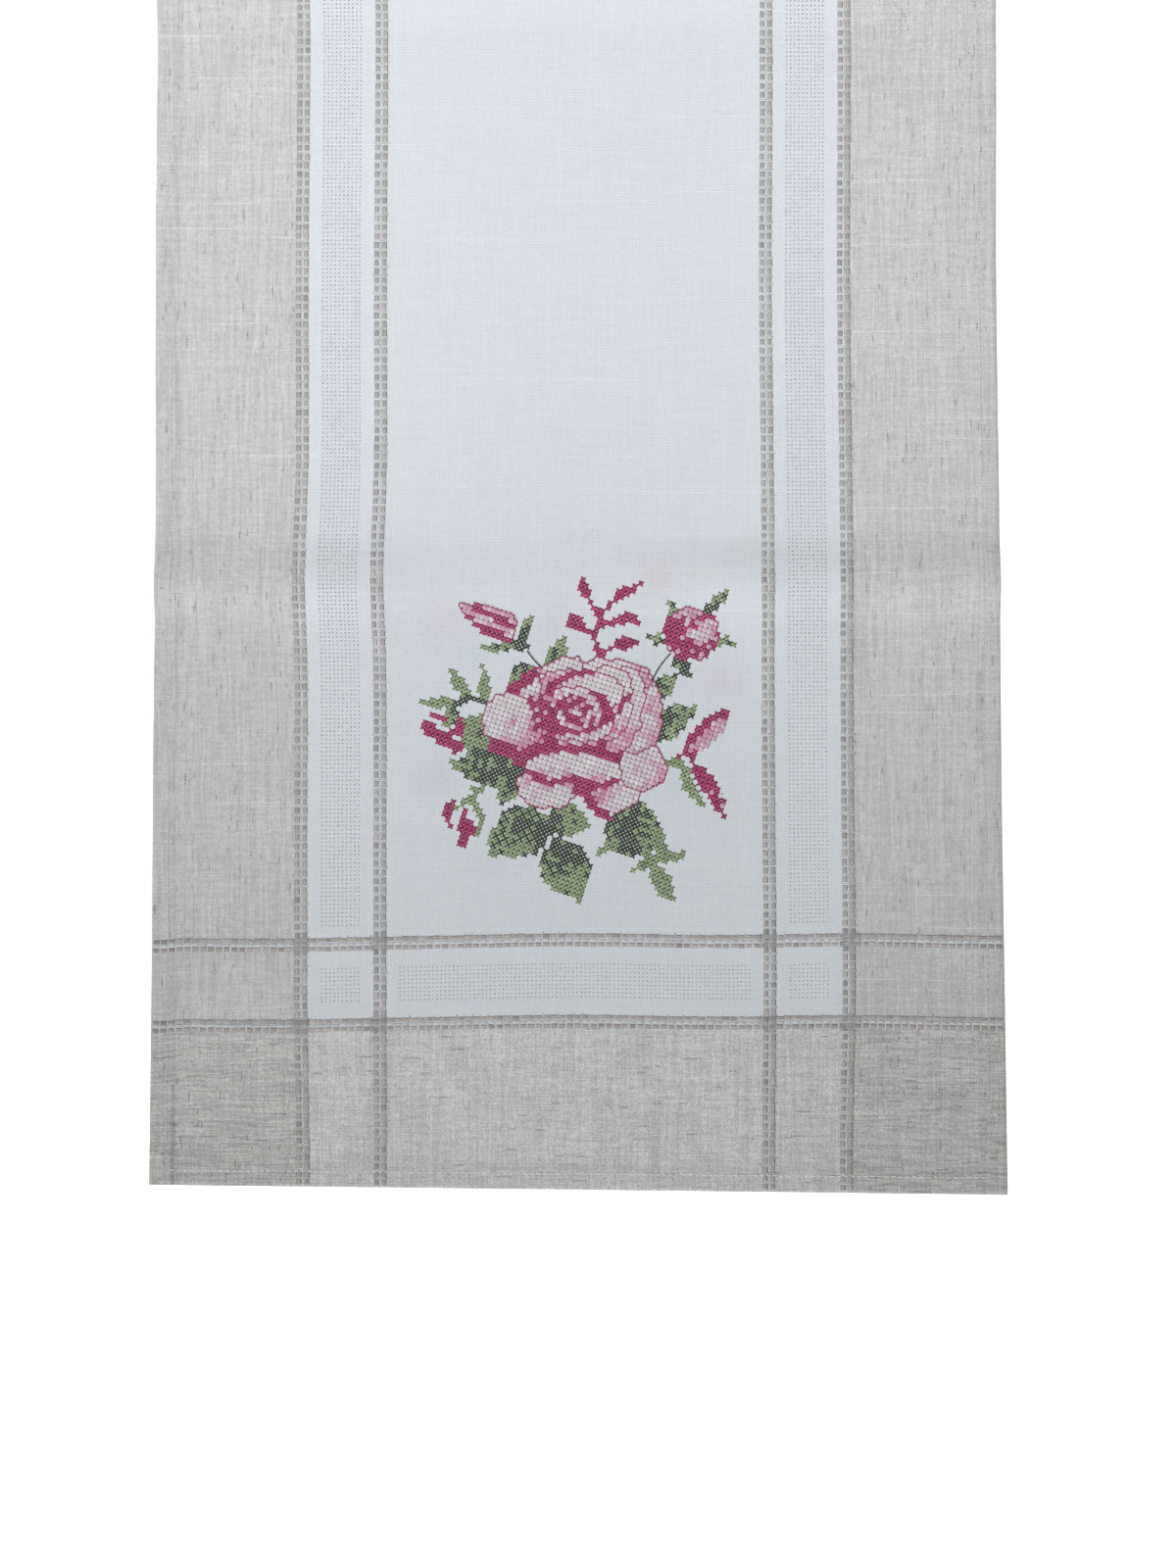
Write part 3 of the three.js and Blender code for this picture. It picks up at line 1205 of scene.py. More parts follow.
@dataclass(frozen=True)
class LadderStripes:
    """Twin grey stripes of floating linen thread, tied down by white cross threads.

    The tones darken the threads on the hem and where two stripes cross, and the spreads are those of the
    threads' places, lengths, widths and colours.
    """

    woven: WovenCloth
    float_rise: float = 0.16 * MM
    tie_length: float = 6.6 * MM
    tie_rise: float = 0.20 * MM
    core_rise: float = 0.17 * MM
    core_half: float = 0.54
    edge_gap: float = 0.6 * MM
    hem_tone: float = 0.78
    crossing_reach: float = 4.4 * MM
    crossing_grey: float = 0.80
    crossing_white: float = 0.72
    grey: Colour = (0.365, 0.343, 0.330)
    white: Colour = (0.62, 0.64, 0.66)
    line_spread: float = 0.06 * MM
    core_line_spread: float = 0.05 * MM
    length_spread: float = 0.06
    float_width_spread: float = 0.05
    tie_width_spread: float = 0.12
    grey_spread: float = 0.09
    hue_spread: float = 0.015
    white_spread: float = 0.06
    draw: np.random.Generator = drawing(23)

    def crossed(self, run: Array, crossings: Array, tone: float) -> Array:
        """Tones along a stripe's run: darker where another stripe crosses it, as one column."""
        near = np.abs(run[:, None] - crossings).min(axis=1) < self.crossing_reach
        return np.where(near, tone, 1.0)[:, None]

    def stripe(self, form: StripeForm, place: float, span: float,
               crossings: Array) -> tuple[MeshParts, MeshParts]:
        """One twin stripe.

        Args:
            form: Its form.
            place: Where its middle line lies, across its run.
            span: Half the length of its run.
            crossings: Where other stripes cross it, along its run.

        Returns:
            Its floats and its ties.
        """
        count = round(2 * span / form.pitch)
        pitch = 2 * span / count
        run = (np.arange(count) - (count - 1) / 2) * pitch
        half = pitch * form.float_share / 2
        lengthwise = form.lengthwise
        surface = self.woven.surface
        floats = []
        for side in (-1, 1):
            line = place + side * form.pair_gap / 2 + self.draw.normal(0, self.line_spread, count)
            reach = half * self.draw.normal(1, self.length_spread, (2, count))
            ends = [self.turned(run + step * long, line, lengthwise) for step, long in zip((-1, 1), reach)]
            colour = np.array(self.grey) * self.draw.normal(1, self.grey_spread, (count, 1))
            colour = colour * self.draw.normal(1, self.hue_spread, (count, 3))
            colour = colour * self.crossed(run, crossings, self.crossing_grey)
            if not lengthwise:
                on_hem = np.abs(run) > span - self.woven.bands.hem
                colour = colour * np.where(on_hem, self.hem_tone, 1)[:, None]
            width = form.float_width * self.draw.normal(1, self.float_width_spread, count)
            floats.append(thread_strokes(FLOAT_STROKE, *ends, width, self.float_rise, surface, colour))
        white = np.array(self.white) * form.white_share
        ties = []
        for offset in form.tie_offsets:
            tie_run = run[:-1] + pitch / 2 + offset + self.draw.normal(0, self.line_spread, count - 1)
            reach = self.tie_length / 2 * self.draw.normal(1, self.length_spread, count - 1)
            ends = [self.turned(tie_run, place + step * reach, lengthwise) for step in (-1, 1)]
            colour = white * self.draw.normal(1, self.white_spread, (count - 1, 1))
            colour = colour * self.crossed(tie_run, crossings, self.crossing_white)
            width = form.tie_width * self.draw.normal(1, self.tie_width_spread, count - 1)
            ties.append(thread_strokes(PLAIN_STROKE, *ends, width, self.tie_rise, surface, colour))
        line = place + self.draw.normal(0, self.core_line_spread, count)
        ends = [self.turned(run + step * pitch * self.core_half, line, lengthwise) for step in (-1, 1)]
        colour = white * self.draw.normal(1, self.white_spread, (count, 1))
        colour = colour * self.crossed(run, crossings, self.crossing_white)
        core = thread_strokes(PLAIN_STROKE, *ends, form.core_width, self.core_rise, surface, colour)
        return MeshParts.joined(floats), MeshParts.joined([*ties, core])

    @staticmethod
    def turned(run: Array, line: Array, lengthwise: bool) -> Array:
        """Points from places along and across a stripe's run."""
        return np.stack([line, run] if lengthwise else [run, line], axis=-1)

    def parts(self) -> tuple[MeshParts, MeshParts]:
        """Build the four lengthwise and the four crosswise stripes.

        Returns:
            All their floats, and all their ties.
        """
        bands, cloth = self.woven.bands, self.woven.cloth
        long_span = cloth.half_length - self.edge_gap
        cross_span = cloth.half_width - self.edge_gap
        signs = np.array([-1, 1])
        side_lines = bands.middle + np.outer(signs, [bands.outer_stripe, bands.inner_stripe]).ravel()
        end_lines = np.outer(signs, [bands.end_stripe, bands.inner_end_stripe]).ravel()
        made = [self.stripe(LENGTHWISE, line, long_span, end_lines) for line in side_lines]
        made += [self.stripe(CROSSWISE, line, cross_span, side_lines) for line in end_lines]
        return MeshParts.joined([pair[0] for pair in made]), MeshParts.joined([pair[1] for pair in made])

    def build(self, maker: Maker, linen: Material, white: Material) -> None:
        """Make the stripes' two pieces.

        Args:
            maker: Puts the pieces into the scene.
            linen: Finish of the floats.
            white: Finish of the ties.
        """
        floats, ties = self.parts()
        maker.piece("ladder_floats", floats, THREAD_UV, linen, "ladder_thread")
        maker.piece("ladder_ties", ties, THREAD_UV, white, "white_thread")


@dataclass(frozen=True)
class HemSeam:
    """Running stitches that hold the turned hem all round: white along the ends, linen along the sides."""

    woven: WovenCloth
    pitch: float = 3.1 * MM
    stitch: float = 2.5 * MM
    width: float = 0.55 * MM
    rise: float = 0.3 * MM
    white: Colour = (0.76, 0.77, 0.78)
    linen: Colour = (0.53, 0.52, 0.50)
    # Painted shade at the ends of the stitches, where they go into the cloth.
    needle_shade: float = 0.7
    line_spread: float = 0.07 * MM
    length_spread: float = 0.07
    tone_spread: float = 0.04
    draw: np.random.Generator = drawing(31)

    def row(self, lengthwise: bool, sign: int) -> MeshParts:
        """Sew stitches along one edge, a little out of line.

        Args:
            lengthwise: Whether the edge is a long side.
            sign: Side of the cloth's centre on which the edge lies.

        Returns:
            The stitches.
        """
        cloth, inset = self.woven.cloth, self.woven.seam_inset
        along = cloth.half_length if lengthwise else cloth.half_width
        across = cloth.half_width if lengthwise else cloth.half_length
        count = int(2 * (along - inset) / self.pitch)
        run = (np.arange(count) - (count - 1) / 2) * self.pitch
        line = sign * (across - inset) + self.draw.normal(0, self.line_spread, count)
        half = self.stitch / 2 * self.draw.normal(1, self.length_spread, count)
        ends = [LadderStripes.turned(run + step * half, line, lengthwise) for step in (-1, 1)]
        plain = np.array(self.linen if lengthwise else self.white)
        colour = plain * self.draw.normal(1, self.tone_spread, (count, 1))
        sizes = (self.width, self.rise)
        return thread_strokes(SEAM_STROKE, *ends, *sizes, self.woven.surface, colour, self.needle_shade)

    def parts(self) -> MeshParts:
        """The seam along all four edges."""
        return MeshParts.joined([self.row(way, sign) for way in (True, False) for sign in (-1, 1)])

    def build(self, maker: Maker, white: Material) -> None:
        """Make the seam's piece in the finish of white thread."""
        maker.piece("hem_seam", self.parts(), THREAD_UV, white, "white_thread")


class Thread(IntEnum):
    """What a cell of the stitch chart is worked in."""

    BARE = 0
    PALE = 1
    ROSE = 2
    LIGHT = 3
    DARK = 4


class End(IntEnum):
    """An end of the runner, as the sign of its place along it."""

    NEAR = -1
    FAR = 1


class Petal(NamedTuple):
    """A rounded petal on the chart, in millimetres from the spray's centre, turned by an angle in degrees.

    blush is the direction in which it grows pink, in degrees.
    """

    x: float
    y: float
    half_length: float
    half_width: float
    turn: float
    blush: float = -60.0


class Leaf(NamedTuple):
    """A leaf on the chart, in millimetres: base, tip, width and bend, and how far dark green runs up it.

    lean tips the edge of the dark part to one side.
    """

    base_x: float
    base_y: float
    tip_x: float
    tip_y: float
    width: float
    dark: float
    lean: float = 0.0
    bend: float = 0.0


class Twig(NamedTuple):
    """A line of stitches on the chart: its half width in cells, its points in millimetres and its thread."""

    cells: float
    points: Points
    thread: Thread = Thread.ROSE


LEAVES = (
    Leaf(-13.5, 33, -6, 47.5, 10, 0.4, 0.4),
    Leaf(-22, 34.5, -34, 24.5, 10, 0.25, 0.3),
    Leaf(33.5, 20, 47, 30, 9.5, 0.5, -0.2),
    Leaf(33, 1.5, 56, 15.5, 14, 0.45, -0.4, 1.0),
    Leaf(-26, -13, -55, 10.5, 29, 0.48, 0.5),
    Leaf(-27, -14, -60, -10.5, 18, 0.75, 0.1),
    Leaf(-27, -12, -37.5, -30, 12, 0.4, -0.3),
    Leaf(-15, -35, -43, -52, 24, 0.5, 0.3),
    Leaf(-15, -35.5, 5.5, -39.5, 16, 0.3, 0.2),
    Leaf(-11.5, -46.5, 0.5, -75, 24, 0.4, -0.3),
    Leaf(13, -34, 41, -49.5, 26, 0.62, 0.35),
    Leaf(-57, 17.5, -74, 18, 5.5, -1),
    Leaf(-52, 20.5, -60, 32.5, 6, -1),
    Leaf(-43.5, 17.5, -45, 35, 6, -1),
    Leaf(33, -55, 50, -52.5, 6.5, -1),
    Leaf(33.5, -57, 24.5, -60.5, 4.5, -1),
    Leaf(34.5, -58, 44.5, -75, 9.5, -1),
    Leaf(20, -45, 8, -53, 5, -1),
    Leaf(-27.5, 46, -21.5, 58.5, 5, 0.5, 0.2),
    Leaf(-27, 46, -45.5, 43, 4.5, 0.4, 0.3, 1.5),
    Leaf(59, 58, 70.5, 68.5, 5.5, 0.6, 0.2),
    Leaf(47, 58, 42, 63.5, 4.5, 0.1),
    Leaf(41, 46, 31.5, 48.5, 5, 0.4, -0.2),
    Leaf(63, 45.5, 74, 45, 4.5, 0.1, 0.2, 0.8),
    Leaf(44.5, 40, 53.5, 29, 6, 1.1),
    Leaf(-58, 16, -63, 6, 7, 0.2, 0.2),
    Leaf(50, -13, 59.5, -30, 6, -1, 0, -2),
)

ROSE_GROUND = Petal(-1, 2, 33, 24, -5)

PETALS = (
    Petal(-15.5, -22.6, 13.4, 8.2, -10, 80),
    Petal(17, -26, 12.2, 8, 24, 150),
    Petal(30, -12.3, 11.2, 10.6, 0, -50),
    Petal(27, 14.5, 12, 20, 4, -30),
    Petal(18, 30, 16, 7, -14, -50),
    Petal(-9.5, 30.7, 12.8, 6.4, 24, 210),
    Petal(-20, 23, 6.4, 9.4, -35, 240),
    Petal(19, 14, 11.5, 20, -14, -80),
    Petal(13, 17, 12, 18, -13, -90),
    Petal(2, 24, 20, 8.5, -8, 200),
    Petal(-31, 8.7, 14, 12.8, -20, -40),
    Petal(-2.5, -12.6, 22.6, 7.8, -6, -100),
)

HEART = Petal(-0.8, 12.2, 18.5, 12.5, -10)

THROAT = Petal(-4, 9, 17, 15, 0)

PETAL_SHADOWS = (
    Twig(1.2, ((-32, 23.3), (-25.7, 27.5), (-19.4, 31.8))),
    Twig(0.55, ((-23.1, 20.1), (-21, 13.7), (-19.9, 6.3), (-17.8, -0.1))),
    Twig(0.8, ((-17.8, 14.8), (-15.6, 21.2), (-10.9, 26.5), (-4.5, 30.2), (1.9, 31.6), (6.1, 32))),
    Twig(0.8, ((10.9, 20.6), (13.4, 14.8), (12.5, 9.5), (6.1, 4.2), (-0.2, 3.1))),
    Twig(0.8, ((24.4, 21.2), (20.8, 17.4), (19, 12.7), (14.5, 9.5))),
    Twig(1.5, ((-16.2, 13.7), (-14.6, 7.4), (-9.8, 1))),
    Twig(1.4, ((-40.6, -1.7), (-33.2, -4.3), (-26.8, -8), (-19.4, -4.3), (-10.9, -2.7))),
    Twig(1.1, ((-10.9, -2.7), (-2.4, -3.3), (6, -4.4))),
    Twig(0.6, ((6, -4.4), (12, -5.4), (18.9, -6.4))),
    Twig(1.0, ((4, -1.8), (8.5, -1.4), (12.6, -2))),
    Twig(0.7, ((-24, -14), (-19, -17), (-13, -19.2), (-5.5, -18), (-0.2, -17))),
    Twig(0.7, ((-0.2, -17), (4, -20.2), (10.4, -20.8), (18, -18))),
    Twig(0.9, ((-0.5, -19), (2, -24), (6, -28.7), (11.4, -34), (14.6, -34.6))),
)

RIMS = (
    Twig(0.85, ((-11.8, 16.4), (-9.8, 20.6), (-4.4, 23.4), (3, 21.7), (8.4, 17)), Thread.PALE),
    Twig(0.65, ((8.4, 17), (10.2, 12.4), (7.7, 7.4)), Thread.PALE),
    Twig(0.5, ((-8.6, 12.8), (-7, 9), (-3.4, 6.6), (0.8, 6.2), (4, 8.6), (4.8, 13.2)), Thread.PALE),
    Twig(0.45, ((-1.6, 12.8), (0.2, 12.6)), Thread.PALE),
    Twig(1.0, ((-7.7, 1), (-1, 0.4), (5.1, 1.3)), Thread.PALE),
    Twig(1.2, ((5.1, 1.3), (14.6, 5.2), (21, 10.5), (23.6, 16.4)), Thread.PALE),
    Twig(1.3, ((15.8, 0), (20.5, -2)), Thread.PALE),
)

TWIGS = (
    Twig(0.5, ((8.5, 40), (8, 47), (9.5, 52), (10, 58))),
    Twig(0.5, ((10, 58), (6.5, 63), (3.5, 68))),
    Twig(0.5, ((10, 57), (15, 63), (20, 67), (30, 72.5))),
    Twig(0.5, ((8, 48), (3, 51), (-1, 54))),
    Twig(0.5, ((9.5, 52), (15, 54), (22, 56), (29, 53.5))),
    Twig(0.5, ((8.5, 40), (14, 42), (20, 45), (28, 45.5))),
    Twig(0.5, ((-15, -37), (-11.5, -47)), Thread.DARK),
    Twig(0.5, ((-58, 16.5), (-50, 20), (-41, 16.5)), Thread.DARK),
    Twig(0.55, ((29, -47), (33, -56), (36, -60)), Thread.LIGHT),
    Twig(1.25, ((-73, 8), (-67, 3.5), (-61, -1), (-56, -4))),
    Twig(0.55, ((-68.5, 12), (-63.5, 9.5))),
    Twig(0.55, ((-55, 10), (-56.5, 3.5), (-60, 3.5))),
    Twig(0.6, ((-58, -28.5), (-62, -31.2), (-62, -35.5), (-60.5, -39))),
    Twig(0.75, ((-54, -32.5), (-54, -37), (-54.6, -42), (-55, -48))),
    Twig(0.6, ((-50, -38.6), (-50.5, -43), (-52.5, -43.5))),
    Twig(0.55, ((-57, -31.5), (-54, -28.5), (-50.5, -26.5)), Thread.LIGHT),
    Twig(0.65, ((-50.5, -26.5), (-48.2, -31), (-46, -37), (-47.5, -43.5)), Thread.LIGHT),
    Twig(0.6, ((-51, -20), (-48, -24), (-42, -19)), Thread.LIGHT),
    Twig(0.6, ((46, -8.5), (52, -4))),
    Twig(0.5, ((52, -6), (55, -9.5))),
    Twig(0.6, ((41, -9), (49, -11.5), (52, -16)), Thread.LIGHT),
    Twig(0.6, ((62, -26), (68.5, -34.5))),
)

SPRIG_TIPS = (
    Petal(3.2, 70, 5.2, 2.6, -62),
    Petal(21.5, 68, 6.5, 2.3, 32),
    Petal(-1.5, 54.5, 4.6, 3.4, -30),
    Petal(22.5, 56.5, 5, 2.6, 15),
    Petal(22, 45.3, 6, 2.8, 8),
)

SLIM_BUD = Petal(-43.6, 56.8, 14.8, 7.6, -27)
SLIM_BUD_BASE = Petal(-27, 45, 3.4, 4.2, 0)
ROUND_BUD = Petal(53.2, 49.4, 12.6, 12, 0)
ROUND_BUD_PETALS = (Petal(51, 59.6, 7.5, 2.8, 4), Petal(60, 50.6, 8, 4.4, 36))
UPPER_SIDE_BUD = Petal(61.2, 4.8, 12.6, 5.2, 44)
LOWER_SIDE_BUD = Petal(61, -22, 12, 4.8, -54)

BARE_STEMS = (
    ((-24, 41.5), (-20.5, 37), (-17.5, 34)),
    ((43.5, 40.5), (38.5, 34.5), (35.5, 29), (34.8, 24.5)),
)


def smooth_line(points: Points, steps: int = 8) -> Array:
    """Lay a smooth curve through a few points: each stretch is a cubic that its neighbours give its slopes.

    Args:
        points: The given points.
        steps: Number of points on each stretch.

    Returns:
        Points on the curve.
    """
    knots = np.array(points, dtype=float)
    knots = np.concatenate([knots[:1], knots, knots[-1:]])
    share = np.linspace(0, 1, steps, endpoint=False)[None, :, None]
    a, b, c, d = (knots[k:len(knots) - 3 + k][:, None, :] for k in range(4))
    square, cube = 2 * a - 5 * b + 4 * c - d, 3 * b - a - 3 * c + d
    curve = 2 * b + (c - a) * share + square * share**2 + cube * share**3
    return np.concatenate([curve.reshape(-1, 2) / 2, knots[-1:]])


@dataclass
class StitchChart:
    """The rose spray on its stitch grid, charted from rounded petals, leaves and twigs.

    Lengths are in millimetres from the spray's centre. The numbers tell petals apart, a blush is how far
    a petal is on its pink side, and a light is the share of rose stitches that are worked in pale thread.
    The weights and the pink values give the share of pink, the patch values its uneven patches, and the
    leaf values the leaf's outline and its mix of greens. The arrays have one entry for each cell.
    """

    cells: int = 80
    pitch: float = 2.2
    turn: float = np.radians(-18.0)
    petal_power: float = 2.3
    slim_bud_number: int = 30
    round_bud_number: int = 31
    heart_number: int = 100
    heart_blush: float = -0.05
    throat_light: float = 0.12
    throat_blush: float = 2.0
    bud_blush: float = 0.5
    side_bud_blush: float = 1.0
    bud_light: float = 0.16
    blush_weight: float = 0.55
    patch_weight: float = 0.28
    lone_weight: float = 0.45
    beside_weight: float = 0.03
    pink_start: float = 0.05
    pink_range: float = 0.6
    least_pink: float = 0.02
    most_pink: float = 0.72
    patch_bend: float = 5.0
    bend_lengths: Range = (7.0, 8.0)
    patch_lengths: Range = (3.4, 2.6)
    leaf_powers: Range = (0.8, 0.85)
    leaf_tip_start: float = 0.6
    leaf_tip_half: float = 0.55
    leaf_base_lap: float = 0.02
    leaf_ragged: float = 0.1
    leaf_ragged_turn: float = 1.7
    leaf_dark_share: float = 0.84
    leaf_edge_reach: float = 0.16
    leaf_edge_share: float = 0.4
    leaf_lone_share: float = 0.12
    twig_lap: float = 0.3
    right: Array = field(init=False)
    up: Array = field(init=False)
    x: Array = field(init=False)
    y: Array = field(init=False)
    thread: Array = field(init=False)
    petal: Array = field(init=False)
    blush: Array = field(init=False)
    flush: Array = field(init=False)
    draw: np.random.Generator = drawing(7)

    def __post_init__(self) -> None:
        """Chart the whole spray, back to front."""
        steps = np.arange(self.cells) - self.cells / 2 + 0.5
        column, row = np.meshgrid(steps * self.pitch, steps * self.pitch, indexing="ij")
        self.right = np.array([np.cos(self.turn), np.sin(self.turn)])
        self.up = np.array([-np.sin(self.turn), np.cos(self.turn)])
        self.x = column * self.right[0] + row * self.up[0]
        self.y = column * self.right[1] + row * self.up[1]
        self.thread = np.full(self.x.shape, Thread.BARE, dtype=int)
        self.petal = np.zeros(self.x.shape, dtype=int)
        self.blush = np.zeros(self.x.shape)
        for leaf in LEAVES:
            self.leaf(leaf)
        for tip in SPRIG_TIPS:
            self.thread[self.inside(tip)] = Thread.ROSE
        for twig in TWIGS:
            self.twig(twig)
        self.slim_bud()
        self.round_bud()
        self.side_buds()
        self.rose()
        self.flush = self.pink_share()

    def pink_share(self) -> Array:
        """Work out the share of pink in each pale cell.

        It grows on its petal's pink side, in uneven patches, by a drawn number and beside rose stitches. The
        patches are the product of two bent sine waves.

        Returns:
            The shares.
        """
        rose = np.pad((self.thread == Thread.ROSE).astype(float), 1)
        beside = np.zeros(self.x.shape)
        for step_x in (0, 1, 2):
            for step_y in (0, 1, 2):
                beside += rose[step_x:step_x + self.cells, step_y:step_y + self.cells]
        bent_x = self.x + self.patch_bend * np.sin(self.y / self.bend_lengths[0])
        bent_y = self.y + self.patch_bend * np.sin(self.x / self.bend_lengths[1])
        patches = np.sin(bent_x / self.patch_lengths[0]) * np.sin(bent_y / self.patch_lengths[1])
        lone = self.draw.random(self.x.shape)
        depth = self.blush_weight * self.blush + self.patch_weight * patches
        depth = depth + self.lone_weight * (lone - 0.5) + self.beside_weight * beside
        return self.most_pink * np.clip((depth + self.pink_start) / self.pink_range, self.least_pink, 1)

    def corners(self, threads: tuple[Thread, ...]) -> Array:
        """Find the grid points with stitches in the given threads on at least three sides.

        Args:
            threads: The threads.

        Returns:
            The points, one row each.
        """
        worked = np.isin(self.thread, threads).astype(int)
        meeting = worked[:-1, :-1] + worked[1:, :-1] + worked[:-1, 1:] + worked[1:, 1:]
        return self.grid_points()[meeting >= 3]

    def grid_points(self) -> Array:
        """Points of the stitch grid, each at the corner where four cells meet."""
        places = np.stack([self.x, self.y], axis=-1)
        return (places[:-1, :-1] + places[1:, 1:]) / 2

    @staticmethod
    def beside(cells: Array) -> Array:
        """Count the chosen cells on the four sides of every cell."""
        chosen = np.pad(cells.astype(int), 1)
        return chosen[:-2, 1:-1] + chosen[2:, 1:-1] + chosen[1:-1, :-2] + chosen[1:-1, 2:]

    def crowded(self) -> Array:
        """Cells with pale stitches on at least two of their four sides."""
        return self.beside(self.thread == Thread.PALE) >= 2

    def reach(self, petal: Petal, power: float = 2.0) -> tuple[Array, Array, Array]:
        """Measure every cell from a petal's centre.

        Args:
            petal: The petal.
            power: Power of the outline's formula: 2 for an ellipse, and more for a squarer petal.

        Returns:
            The distance, which is 1 on the outline, and its parts along and across the petal.
        """
        turn = np.radians(petal.turn)
        dx, dy = self.x - petal.x, self.y - petal.y
        along = (np.cos(turn) * dx + np.sin(turn) * dy) / petal.half_length
        across = (np.cos(turn) * dy - np.sin(turn) * dx) / petal.half_width
        return (np.abs(along) ** power + np.abs(across) ** power) ** (1 / power), along, across

    def inside(self, petal: Petal) -> Array:
        """Cells inside a petal."""
        return self.reach(petal)[0] < 1

    def leaf(self, leaf: Leaf) -> None:
        """Chart a leaf: half a sine wave wide, dark green from its base up to a ragged edge.

        Args:
            leaf: The leaf.
        """
        way = np.array([leaf.tip_x - leaf.base_x, leaf.tip_y - leaf.base_y])
        length = np.linalg.norm(way)
        ahead = way / length
        dx, dy = self.x - leaf.base_x, self.y - leaf.base_y
        along = (dx * ahead[0] + dy * ahead[1]) / length
        aside = dy * ahead[0] - dx * ahead[1] - leaf.bend * 4 * along * (1 - along)
        base_power, side_power = self.leaf_powers
        half = leaf.width / 2 * np.sin(np.pi * np.clip(along, 0, 1) ** base_power) ** side_power
        half = np.maximum(half, self.pitch * self.leaf_tip_half * (along > self.leaf_tip_start))
        inside = (along > -self.leaf_base_lap) & (along < 1) & (np.abs(aside) < half)
        ragged = self.leaf_ragged * np.sin(self.leaf_ragged_turn * aside + leaf.base_x)
        beyond = along + leaf.lean * aside / leaf.width - leaf.dark - ragged
        mix = self.draw.random(self.x.shape)
        self.thread[inside] = Thread.LIGHT
        self.thread[inside & (beyond < 0) & (mix < self.leaf_dark_share)] = Thread.DARK
        at_edge = np.abs(beyond) < self.leaf_edge_reach
        self.thread[inside & at_edge & (mix < self.leaf_edge_share)] = Thread.DARK
        self.thread[inside & (beyond > 0) & (mix < self.leaf_lone_share) & (leaf.dark > 0)] = Thread.DARK

    def twig(self, twig: Twig) -> None:
        """Chart a line of stitches along a smooth curve.

        Args:
            twig: The line.
        """
        points = smooth_line(twig.points)
        for start, end in zip(points[:-1], points[1:]):
            length = np.linalg.norm(end - start)
            ahead = (end - start) / length
            dx, dy = self.x - start[0], self.y - start[1]
            along = dx * ahead[0] + dy * ahead[1]
            aside = np.abs(dy * ahead[0] - dx * ahead[1])
            reach = self.twig_lap * self.pitch
            near = (along > -reach) & (along < length + reach) & (aside < twig.cells * self.pitch)
            self.thread[near] = twig.thread

    def slim_bud(self) -> None:
        """Chart the slim bud at the upper left: a pointed pale fan, with a rose lower side and a rose stripe.

        Its width grows as a quarter of a sine wave from the tip, and shrinks evenly towards its base.
        """
        tip, widest, base_start, base_taper = 0.06, 1.8, 0.5, 0.35
        lower_side, stripe, stripe_half, stripe_start = -0.35, 0.32, 0.2, -0.45
        _, along, across = self.reach(SLIM_BUD)
        half = tip + (1 - tip) * np.sin(np.pi / 2 * np.clip((along + 1) / widest, 0, 1))
        half = half - base_taper * np.clip(along - base_start, 0, 1)
        inside = (np.abs(along) < 1) & (np.abs(across) < half)
        self.thread[inside] = Thread.PALE
        self.petal[inside] = self.slim_bud_number
        self.blush[inside] = self.bud_blush
        on_stripe = (np.abs(across - stripe) < stripe_half) & (along > stripe_start)
        self.thread[inside & ((across < lower_side) | on_stripe)] = Thread.ROSE
        self.thread[self.inside(SLIM_BUD_BASE)] = Thread.DARK

    def round_bud(self) -> None:
        """Chart the round bud at the upper right: rose, with pale petals over its top and its right side."""
        inside = self.reach(ROUND_BUD, self.petal_power)[0] < 1
        self.thread[inside] = Thread.ROSE
        self.petal[inside] = self.round_bud_number
        self.blush[inside] = self.bud_blush
        for petal in ROUND_BUD_PETALS:
            self.thread[inside & self.inside(petal)] = Thread.PALE
        self.lighten(inside, self.bud_light, self.bud_blush)

    def side_buds(self) -> None:
        """Chart the two narrow buds at the right: one pale with a rose side and tip, and one rose."""
        rose_side, rose_tip, cut_side = 0.2, 0.66, -0.5
        away, along, across = self.reach(UPPER_SIDE_BUD)
        inside = away < 1
        self.thread[inside] = Thread.PALE
        self.blush[inside] = self.side_bud_blush
        self.thread[inside & ((across > rose_side) | (along > rose_tip))] = Thread.ROSE
        away, _, across = self.reach(LOWER_SIDE_BUD)
        inside = (away < 1) & (across > cut_side)
        self.thread[inside] = Thread.ROSE
        self.lighten(inside, self.bud_light, self.bud_blush)

    def lighten(self, region: Array, share: float, blush: float) -> None:
        """Work a drawn share of a region's rose stitches in pale thread.

        Args:
            region: Cells of the region.
            share: Share of its rose stitches.
            blush: Blush of the pale stitches.
        """
        lone = self.draw.random(self.x.shape)
        lightened = region & (self.thread == Thread.ROSE) & (lone < share)
        self.thread[lightened] = Thread.PALE
        self.blush[lightened] = blush

    def rose(self) -> None:
        """Chart the rose: pale petals from back to front, rose shadows between them, and the heart's rims."""
        self.thread[self.inside(ROSE_GROUND)] = Thread.ROSE
        for number, petal in enumerate(PETALS, start=1):
            inside = self.reach(petal, self.petal_power)[0] < 1
            self.thread[inside] = Thread.PALE
            self.petal[inside] = number
            toward = np.radians(petal.blush)
            away = (self.x - petal.x) * np.cos(toward) + (self.y - petal.y) * np.sin(toward)
            self.blush[inside] = (away / (petal.half_length + petal.half_width) * 2)[inside]
        inside = self.inside(HEART)
        self.thread[inside] = Thread.ROSE
        self.petal[inside] = self.heart_number
        self.blush[inside] = self.heart_blush
        for shadow in PETAL_SHADOWS:
            self.twig(shadow)
        self.lighten(self.inside(THROAT), self.throat_light, self.throat_blush)
        for rim in RIMS:
            self.twig(rim)
        beside = self.beside(np.isin(self.thread, (Thread.ROSE, Thread.PALE)))
        self.thread[(self.thread == Thread.BARE) & (beside >= 3)] = Thread.ROSE

